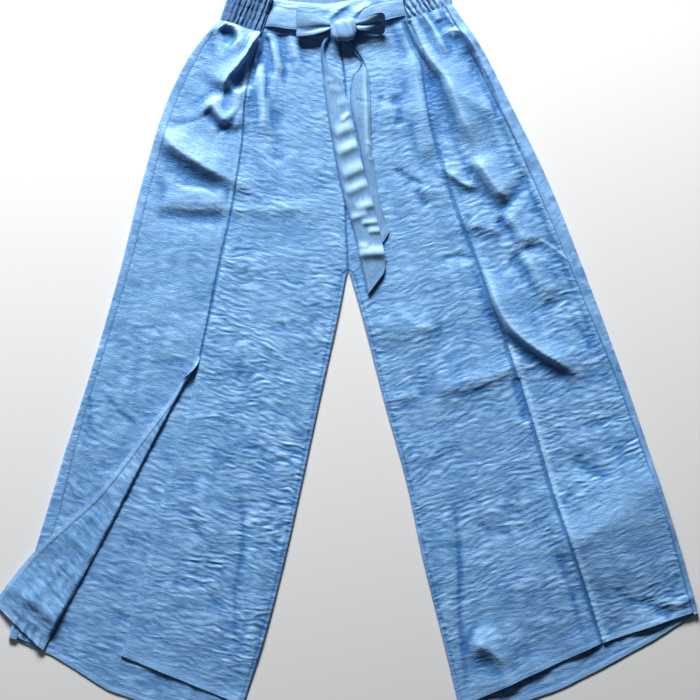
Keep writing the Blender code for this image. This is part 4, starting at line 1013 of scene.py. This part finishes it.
def elastic_band():
    """Elastic casing: gathered beside the front band, folded round the sides, gathered across the back."""
    share = np.linspace(SEAM / BAND_DEPTH, 1, CASING_ROWS)[:, None]
    place = {key: blend(np.array(low), np.array(BAND_HIGH[key]), share) for key, low in BAND_LOW.items()}
    radius = (QUIET + SIDE_RISE) / 2
    up = share * BAND_DEPTH
    edge_calm = calmed((up, *CASING_CALM), (up - BAND_DEPTH, *CASING_CALM))
    depth, width = CHANNEL_GROOVE
    channels = sum(depth * bump(up - row, width) for row in CHANNELS)
    s = np.linspace(0, 1, GATHERS_ON_TOP * POINTS_PER_GATHER + 1)
    come = np.minimum(1, s / GATHER_FADE)
    grain, along_it, up_it, full_at = GATHER_GRAIN
    faces, others, ridges = [], [], []
    for side, layer in (("right", 71), ("left", 75)):
        seam, fold = place["seam_" + side], place["fold_" + side]
        length = np.linalg.norm(seam - fold, axis=1, keepdims=True)
        span = (seam - fold) / length
        reach = radius + (length - radius - SEAM) * s
        drawn = s - GATHER_SLANT[side] * up / length
        for step, (size, waves, rise) in enumerate(GATHER_WANDER):
            drawn = drawn + size * noise(s * waves, up / rise, layer + 2 * step)
        ridge = GATHER_BOOST * GATHER_SHARE[side] * GATHER_HEIGHT * (gather(drawn, GATHERS_ON_TOP) * come)
        ridge = ridge + grain * noise(reach / along_it, up / up_it, layer + 1) * np.minimum(1, s / full_at)
        z = 2 * radius + ridge * edge_calm - channels + GATHER_LEAN[side] * up * come
        z -= CASING_END[0] * bump(reach - length + SEAM, CASING_END[1])
        plan = away(fold, span, reach)
        lower = 2 * radius + GATHER_HEIGHT * gather(s, GATHERS_ON_TOP) * come - 2 * CASING_WALL
        ridges.append(ridge[:, ::-1])
        lower = np.minimum(lower + 0 * reach, z - THINNEST)
        for walls, height, r in ((faces, z, radius), (others, lower, radius - CASING_WALL)):
            out, curl_z = half_turn(radius + 0 * length, r)
            curl = np.dstack([away(fold, span, out), curl_z])
            walls.append(np.concatenate([np.dstack([plan, height])[:, ::-1], curl], axis=1))
    start, end = faces[0][:, -1:], faces[1][:, -1:]
    s = np.linspace(0, 1, GATHERS_BELOW * POINTS_PER_GATHER // 2 + 2)[1:-1]
    below = start + (end - start) * s[None, :, None]
    wave = gather(s, GATHERS_BELOW) * np.sin(np.pi * s)
    raised = CASING_WALL + GATHERS_BELOW_SHARE * GATHER_HEIGHT * (1 + wave)
    above = below + np.stack([0 * s, 0 * s, raised], axis=-1)[None]
    face = np.concatenate([faces[0], below, faces[1][:, ::-1]], axis=1)
    other = np.concatenate([others[0], above, others[1][:, ::-1]], axis=1)
    over = arc(face, 1)
    fine = np.zeros(over.shape)
    count = ridges[0].shape[1]
    # Painted shading: darker in the gathers' troughs and lighter on their crests, with painted shade all along the
    # right casing.
    fine[:, :count] = GATHER_TONE * ridges[0] + GATHER_SHADE["right"]
    fine[:, -count:] = GATHER_TONE * ridges[1][:, ::-1] + GATHER_SHADE["left"]
    along_gathers = np.dstack([up + 0 * over, over])
    return closed_mesh("waistband_elastic_casing", face, other, along_gathers, as_painted_shading(fine))


def ribbon(name, table, count, lying_on=None, creases=()):
    """A stretch of the tie, on its heights above the floor or above what it lies on."""
    share = np.linspace(0, 1, RIBBON_COLUMNS)
    x0, y0, x1, y1, low0, low1, arch = along(table, np.linspace(0, 1, count)).T[..., None]
    x, y = blend(x0, x1, share), blend(y0, y1, share)
    low = blend(low0, low1, share) + arch * np.sin(np.pi * share)
    if lying_on is not None:
        low = low + lying_on("right", x, y)
    plan = np.dstack([x, y])
    down, over = arc(plan, 0), arc(plan, 1)
    width = over[:, -1:]
    u, w = down[:, :1] + 0 * over, (share - 0.5) * width
    fine = sum(height * noise(u / length, w / distance, layer) for height, length, distance, layer in TIE_SWELLS)
    for *line, above, below, height in creases:
        t, off = beside(x, y, *line)
        fine = fine + height * np.clip(1 - (2 * t - 1) ** 4, 0, 1) * bump(off, np.where(off > 0, above, below))
    depth, edge_in, reach = TIE_GROOVE
    fine = fine - depth * bump(over - edge_in, reach) - depth * bump(width - over - edge_in, reach)
    # Painted shading: darker in the puffs' troughs and the stitched grooves, lighter on the crests, and a painted
    # shadow along one edge.
    depth, edge_in, reach = TIE_EDGE_SHADOW
    shade = (fine - TIE_TONE[0]) * TIE_TONE[1] - depth * bump(over - edge_in, reach)
    face = np.dstack([x, y, low + TIE_WALL + np.maximum(fine, THINNEST - TIE_WALL)])
    return closed_mesh(name, face, np.dstack([x, y, low]), np.dstack([u, w]), as_painted_shading(shade))


def loop(name, row, layer):
    """A loop of the bow: out from the knot, round its far end and back over itself, pleated by the knot."""
    x0, y0, x1, y1, half0, half1, low0, high0, low1, high1, turn = row
    radius = (high1 - low1) / 2
    run = np.sign(x1 - x0)
    stop = x1 - run * radius
    share = np.linspace(0, 1, LOOP_ROWS + 1)[:-1]
    rise = share**2 * (3 - 2 * share)
    angle = np.radians(np.linspace(-90, 90, LOOP_BEND))
    reach = x0 + (stop - x0) * share
    x = np.concatenate([reach, stop + run * radius * np.cos(angle), reach[::-1]])[:, None]
    z = np.concatenate([low0 + (low1 - low0) * rise, low1 + radius + radius * np.sin(angle),
                        high0 + (high1 - high0) * rise[::-1]])[:, None]
    out = np.clip((x - x0) / (x1 - x0), 0, 1)
    half = half0 + (half1 - half0) * np.sin(out * np.pi / 2) ** LOOP_FLARE
    s = np.linspace(-1, 1, LOOP_COLUMNS)[None]
    middle = (low1 + high1) / 2
    across_y, lift = s * half, z - middle + 0 * s
    cos, sin = np.cos(np.radians(turn) * out), np.sin(np.radians(turn) * out)
    grid = np.dstack([x + 0 * s, y0 + (y1 - y0) * out + 0 * s + across_y * cos - lift * sin,
                      middle + across_y * -sin * run + lift * cos])
    size, over, along_it = LOOP_WANDER
    drift = s + size * noise(s * over + 0 * out, along_it * out + 0 * s, layer)
    pleats = sum(height * bump(drift - place, wide) for place, wide, height in LOOP_PLEATS[name[:-6]])
    less, start, span, power = LOOP_FADE
    pleats = pleats * (1 - less * out) * np.sin(np.pi * (start + span * out)) ** power
    height, over, along_it = LOOP_GRAIN
    pleats += height * noise(s * over + 0 * out, arc(grid, 0) / along_it, layer + 1)
    up_way = normals(grid) * run
    face = grid - up_way * pleats[..., None]
    under = face + up_way * TIE_WALL
    place = np.dstack([arc(grid, 0), s * half1 + 0 * lift])
    # Painted shading: darker in the pleats' troughs, lighter on their crests, and darker all over.
    return closed_mesh(name, face, under, place, as_painted_shading(pleats * LOOP_TONE[0] - LOOP_TONE[1]))


def squared(a):
    """A sine or cosine drawn out towards the corners of a rounded square."""
    return np.sign(a) * np.abs(a) ** KNOT_SQUARENESS


def knot():
    """The bow's knot: a band of the tie wrapped round in uneven folds."""
    x, y, z, half_x, half_y, half_z = KNOT
    tilt = np.linspace(0, np.pi, KNOT_RINGS + 1)[1:-1, None]
    turn = np.linspace(0, 2 * np.pi, KNOT_SIDES, endpoint=False)[None]
    lean = np.cos(tilt) + KNOT_LEAN * np.cos(turn) * np.sin(tilt) + KNOT_WAVE * np.sin(2 * turn + 1)
    wraps = -sum(depth * bump(lean - place, wide) for place, wide, depth in KNOT_WRAPS)
    girth = np.sin(tilt) ** KNOT_SQUARENESS * (1 + wraps) * (1 + KNOT_NARROWING * np.cos(tilt))
    px = x + half_x * squared(np.cos(tilt)) + 0 * turn
    py = y + KNOT_RISE * (px - x) + half_y * girth * squared(np.cos(turn))
    pz = z + half_z * girth * squared(np.sin(turn))
    points = np.concatenate([np.dstack([px, py, pz]).reshape(-1, 3), [(x + half_x, y, z), (x - half_x, y, z)]])
    index = np.arange((KNOT_RINGS - 1) * KNOT_SIDES).reshape(KNOT_RINGS - 1, KNOT_SIDES)
    after = np.roll(index, -1, axis=1)
    faces = np.stack([index[:-1], index[1:], after[1:], after[:-1]], -1).reshape(-1, 4).tolist()
    first, last = len(points) - 2, len(points) - 1
    faces += [[first, int(a), int(b)] for a, b in zip(index[0], after[0])]
    faces += [[last, int(b), int(a)] for a, b in zip(index[-1], after[-1])]
    place = np.dstack([half_y * turn + 0 * tilt, half_x * np.cos(tilt) + 0 * turn]).reshape(-1, 2)
    # Painted shading: darker in the wraps' grooves and darker all over.
    tone, middle, ends = KNOT_TONE
    shade = np.append(as_painted_shading(wraps * tone + middle), [ends, ends])
    return new_object("bow_knot", points, faces, np.concatenate([place, [(0, half_x), (0, -half_x)]]), shade)


def inside(face, side, distance):
    """Places on a panel's face at a distance in from its hem, or from its first or last column."""
    grid = {"hem": face[::-1], "first": face.transpose(1, 0, 2), "last": face[:, ::-1].transpose(1, 0, 2)}[side]
    return np.array([place_at(distance, *pair) for pair in zip(arc(grid, 0).T, grid.transpose(1, 0, 2))])


def place_at(distance, travelled, row):
    """The place on a row of points at a distance along it."""
    return np.array([np.interp(distance, travelled, row[:, axis]) for axis in range(3)])


def one_stitch():
    """Corners and faces of one stitch, along +X with its middle at the origin."""
    bpy.ops.object.select_all(action="DESELECT")
    bpy.ops.mesh.primitive_ico_sphere_add(subdivisions=1, radius=1.0)
    bpy.ops.transform.resize(value=(STITCH[0] / 2, STITCH[2], STITCH[2] * STITCH_FLAT))
    bpy.ops.object.transform_apply(location=True, rotation=True, scale=True)
    made = bpy.context.object
    corners = np.array([tuple(v.co) for v in made.data.vertices])
    faces = np.array([tuple(p.vertices) for p in made.data.polygons])
    bpy.data.objects.remove(made, do_unlink=True)
    return corners, faces


def stitch_row(name, rows):
    """Sewing thread: the stitch copied along each row."""
    corners, faces = STITCH_FORM
    long, pitch, thick = STITCH
    points, sides = [], []
    for row in rows:
        travelled = np.append(0, np.cumsum(np.linalg.norm(np.diff(row, axis=0), axis=1)))
        for centre in np.arange(pitch, travelled[-1] - pitch, pitch):
            start, end = (place_at(centre + half, travelled, row) for half in (-long / 2, long / 2))
            ahead = unit(end - start)
            sideways = unit(np.cross((0, 0, 1), ahead))
            turn = np.stack([ahead, sideways, np.cross(ahead, sideways)])
            sides.append(faces + len(points) * len(corners))
            points.append((start + end) / 2 + (0, 0, thick * STITCH_RISE) + corners @ turn)
    STITCHES[name] = new_object(name, np.concatenate(points), np.concatenate(sides).tolist())


class Value:
    """A node's output socket that can be used in Python expressions."""

    def __init__(self, tree, socket):
        self.tree, self.socket = tree, socket

    def __add__(self, other):
        return self.tree.math("ADD", self, other)

    def __sub__(self, other):
        return self.tree.math("SUBTRACT", self, other)

    def __rsub__(self, other):
        return self.tree.math("SUBTRACT", other, self)

    def __mul__(self, other):
        return self.tree.math("MULTIPLY", self, other)

    def __abs__(self):
        return self.tree.math("ABSOLUTE", self)

    __radd__, __rmul__ = __add__, __mul__


class Finish:
    """A cloth material under construction."""

    def __init__(self, name):
        self.material = bpy.data.materials.new(name)
        self.material.use_nodes = True
        self.nodes, self.links = self.material.node_tree.nodes, self.material.node_tree.links
        self.shader = self.nodes["Principled BSDF"]

    def add(self, kind, settings=(), inputs=()):
        """A node with its settings, then the values or links of its sockets. Gives its outputs."""
        node = self.nodes.new(kind)
        for key, setting in dict(settings).items():
            setattr(node, key, setting)
        self.feed(node, inputs)
        return [Value(self, socket) for socket in node.outputs]

    def feed(self, node, inputs):
        """Gives a node's sockets their values or links."""
        for key, given in dict(inputs).items():
            if isinstance(given, Value):
                self.links.new(given.socket, node.inputs[key])
            else:
                node.inputs[key].default_value = given

    def math(self, operation, *given):
        return self.add("ShaderNodeMath", {"operation": operation}, enumerate(given))[0]

    def mix(self, factor, first, second):
        """One colour or the other, by a factor."""
        return self.add("ShaderNodeMix", {"data_type": "RGBA"}, {0: factor, 6: first, 7: second})[2]

    def bumped(self, distance, height, strength=1.0, **others):
        """The surface's direction once a height has moved it."""
        given = {"Strength": strength, "Distance": distance, "Height": height, **others}
        return self.add("ShaderNodeBump", {}, given)[0]


def crepe(name, colour, trough, roughness, sheen, grain, crinkled=True):
    """Crinkled cloth: fine creases between the modelled ones, a pebbled grain, and painted shading, with the colour
    darker in troughs as painted shade and lighter on crests as painted highlight.
    """
    made = Finish(name)
    place = made.add("ShaderNodeUVMap", {"uv_map": "cloth"})[0]
    painted_shading = made.add("ShaderNodeAttribute", {"attribute_name": "painted_shading"})[2]

    def pattern(along_size, across_size, detail, rough=0.5, distortion=0.0):
        scale = (1 / along_size, 1 / across_size, 1)
        stretched = made.add("ShaderNodeMapping", {}, {"Vector": place, "Scale": scale})[0]
        return made.add("ShaderNodeTexNoise", {"noise_dimensions": "2D"}, {
            "Vector": stretched, "Scale": 1.0, "Detail": detail, "Roughness": rough, "Distortion": distortion})[0]

    wrinkles = pattern(0.009, 0.0034, 2.0, 0.55, 0.35)
    pebbles = pattern(0.0012, 0.0010, 2.0)
    patches = pattern(0.09, 0.05, 1.0)
    lines = abs(wrinkles - 0.5)
    # painted shading: darker in the troughs of the modelled form and of the wrinkles' bump, lighter on their crests;
    # the patches are the cloth's own uneven tone
    tone = painted_shading * 0.75 + lines * 0.7 + patches * 0.25 - 0.06
    made.feed(made.shader, {
        "Base Color": made.mix(tone, trough, colour),
        "Roughness": roughness + 0.06 - wrinkles * 0.12,
        "Normal": made.bumped(grain, pebbles, Normal=made.bumped(0.0009 if crinkled else 0.0003, lines)),
        "Sheen Weight": sheen,
        "Sheen Roughness": 0.45,
    })
    return made.material


def thread():
    """Sewing thread with its twist."""
    made = Finish("thread")
    place = made.add("ShaderNodeTexCoord")[3]
    twist = made.add("ShaderNodeTexNoise", {"noise_dimensions": "3D"}, {
        "Vector": place, "Scale": 1800.0, "Detail": 1.0})[0]
    made.feed(made.shader, {
        # painted shade: the colour is darker where the twist's bump is low
        "Base Color": made.mix(twist, (0.16, 0.31, 0.58, 1), (0.30, 0.50, 0.78, 1)),
        "Roughness": 0.6,
        "Normal": made.bumped(0.0001, twist, 0.5),
    })
    return made.material


def sheet_of(piece, node, slot, finish, held, width, length, area, on, sewn=()):
    """Gives a cloth piece its finish and puts it in its node's place, hiding the node."""
    piece.data.materials.append(finish)
    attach(piece, "root")
    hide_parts(node)


STITCHES = {}
STITCH_FORM = one_stitch()
# Each finish takes its first colour on crests as painted highlight and its second in troughs as painted shade.
crepe_face = crepe("crepe", (0.35, 0.59, 0.88, 1), (0.03, 0.155, 0.40, 1), 0.48, 0.15, 0.00012)
crepe_reverse = crepe("crepe_reverse", (0.35, 0.59, 0.88, 1), (0.03, 0.155, 0.40, 1), 0.50, 0.15, 0.00012)
# Its colour in troughs is darker than the other finishes': deeper painted shade in the gathers.
crepe_gathered = crepe("crepe_gathered", (0.29, 0.50, 0.80, 1), (0.02, 0.08, 0.20, 1), 0.6, 0.15, 0.00012)
tie_satin = crepe("tie_satin", (0.36, 0.57, 0.81, 1), (0.04, 0.14, 0.32, 1), 0.44, 0.15, 0.00004, crinkled=False)
sewing_thread = thread()

backs = {side: back_panel(side) for side in ("right", "left")}
centres = {side: centre_panel(side) for side in ("right", "left")}
side_right, side_left = side_panel_right(), side_panel_left()
band, casing = front_band(), elastic_band()
strap_right = ribbon("tie_strap_right_cloth", STRAP_RIGHT, STRAP_ROWS)
strap_left = ribbon("tie_strap_left_cloth", STRAP_LEFT, STRAP_ROWS)
tail_long = ribbon("tail_long_cloth", TAIL_LONG, TAIL_ROWS, top, TAIL_CREASES)
tail_short = ribbon("tail_short_cloth", TAIL_SHORT, TAIL_ROWS, top, SHORT_TAIL_CREASES)
bow_right = loop("bow_loop_right_cloth", LOOPS["bow_loop_right"], 91)
bow_left = loop("bow_loop_left_cloth", LOOPS["bow_loop_left"], 95)
bow_knot = knot()

for piece, *rest in (
    (backs["right"], "back_right", "crepe_back", crepe_reverse, "folded", 0.42, 1.02, 0.30, [],
     ["back_hem_stitches_right"]),
    (backs["left"], "back_left", "crepe_back", crepe_reverse, "folded", 0.42, 1.02, 0.30, [],
     ["back_hem_stitches_left"]),
    (centres["right"], "front_centre_right", "crepe", crepe_face, "laid", 0.28, 0.97, 0.155, ["back_leg_right"],
     ["front_hem_stitches_centre_right", "slit_edge_stitches"]),
    (centres["left"], "front_centre_left", "crepe", crepe_face, "laid", 0.28, 0.97, 0.16, ["back_leg_left"],
     ["front_hem_stitches_centre_left"]),
    (side_right, "front_side_right", "crepe", crepe_face, "folded", 0.22, 0.97, 0.108, ["back_leg_right"],
     ["flap_stitches", "front_hem_stitches_side_right"]),
    (side_left, "front_side_left", "crepe", crepe_face, "laid", 0.22, 0.97, 0.106, ["back_leg_left"],
     ["front_hem_stitches_side_left"]),
    (band, "waistband_front", "crepe", crepe_face, "laid", 0.206, 0.054, 0.0104, ["waistband_elastic_casing"]),
    (casing, "waistband_elastic", "crepe_back", crepe_gathered, "gathered", 0.62, 0.052, None, []),
    (strap_right, "tie_strap_right", "tie", tie_satin, "laid", 0.09, 0.034, None, ["waistband_front_panel"]),
    (strap_left, "tie_strap_left", "tie", tie_satin, "laid", 0.07, 0.034, None, ["waistband_front_panel"]),
    (bow_right, "bow_loop_right", "tie", tie_satin, "folded", 0.1, 0.034, None, ["tie_strap_right_cloth"]),
    (bow_left, "bow_loop_left", "tie", tie_satin, "folded", 0.08, 0.028, None, ["tie_strap_left_cloth"]),
    (tail_long, "tail_long", "tie", tie_satin, "laid", 0.034, 0.385, None, ["front_centre_panel_left"]),
    (tail_short, "tail_short", "tie", tie_satin, "folded", 0.022, 0.3, None, ["front_centre_panel_left"]),
):
    sheet_of(piece, *rest)

bow_knot.data.materials.append(tie_satin)
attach(bow_knot, "root")
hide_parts("knot")
for row in STITCHES.values():
    row.data.materials.append(sewing_thread)
    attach(row, "root")


def area_light(name, place, aim, size, power, colour=(1, 1, 1)):
    """A soft studio light that faces its aim."""
    lamp = bpy.data.lights.new(name, "AREA")
    lamp.shape, lamp.size, lamp.size_y = "RECTANGLE", size[0], size[1]
    lamp.energy, lamp.color = power, colour
    made = bpy.data.objects.new(name, lamp)
    made.location = place
    made.rotation_euler = (mathutils.Vector(aim) - mathutils.Vector(place)).to_track_quat("-Z", "Y").to_euler()
    bpy.context.collection.objects.link(made)


bpy.ops.object.select_all(action="DESELECT")
bpy.ops.mesh.primitive_plane_add(size=8.0)
floor = bpy.context.object
floor.name = "studio_floor"
paper = Finish("studio_paper")
paper.feed(paper.shader, {"Base Color": (0.72, 0.72, 0.72, 1), "Roughness": 0.9})
floor.data.materials.append(paper.material)

area_light("window", (-0.48, 3.00, 1.52), (0.0, -0.1, 0.0), (1.6, 0.70), 230.0)
area_light("left_side", (-1.3, 0.0, 1.5), (-0.2, 0.0, 0.0), (1.5, 1.5), 3.0, (0.80, 0.90, 1.0))
world = bpy.data.worlds.new("studio")
world.use_nodes = True
world.node_tree.nodes["Background"].inputs["Color"].default_value = (0.75, 0.88, 1, 1)
world.node_tree.nodes["Background"].inputs["Strength"].default_value = 0.03
bpy.context.scene.world = world
bpy.context.scene.view_settings.view_transform = "Standard"
bpy.context.scene.view_settings.look = "Medium High Contrast"

camera = bpy.data.cameras.new("camera")
camera.lens, camera.sensor_width = 85.0, 36.0
eye = bpy.data.objects.new("camera", camera)
eye.location = (0.0061, -0.0054, 2.3189)
bpy.context.collection.objects.link(eye)
bpy.context.scene.camera = eye
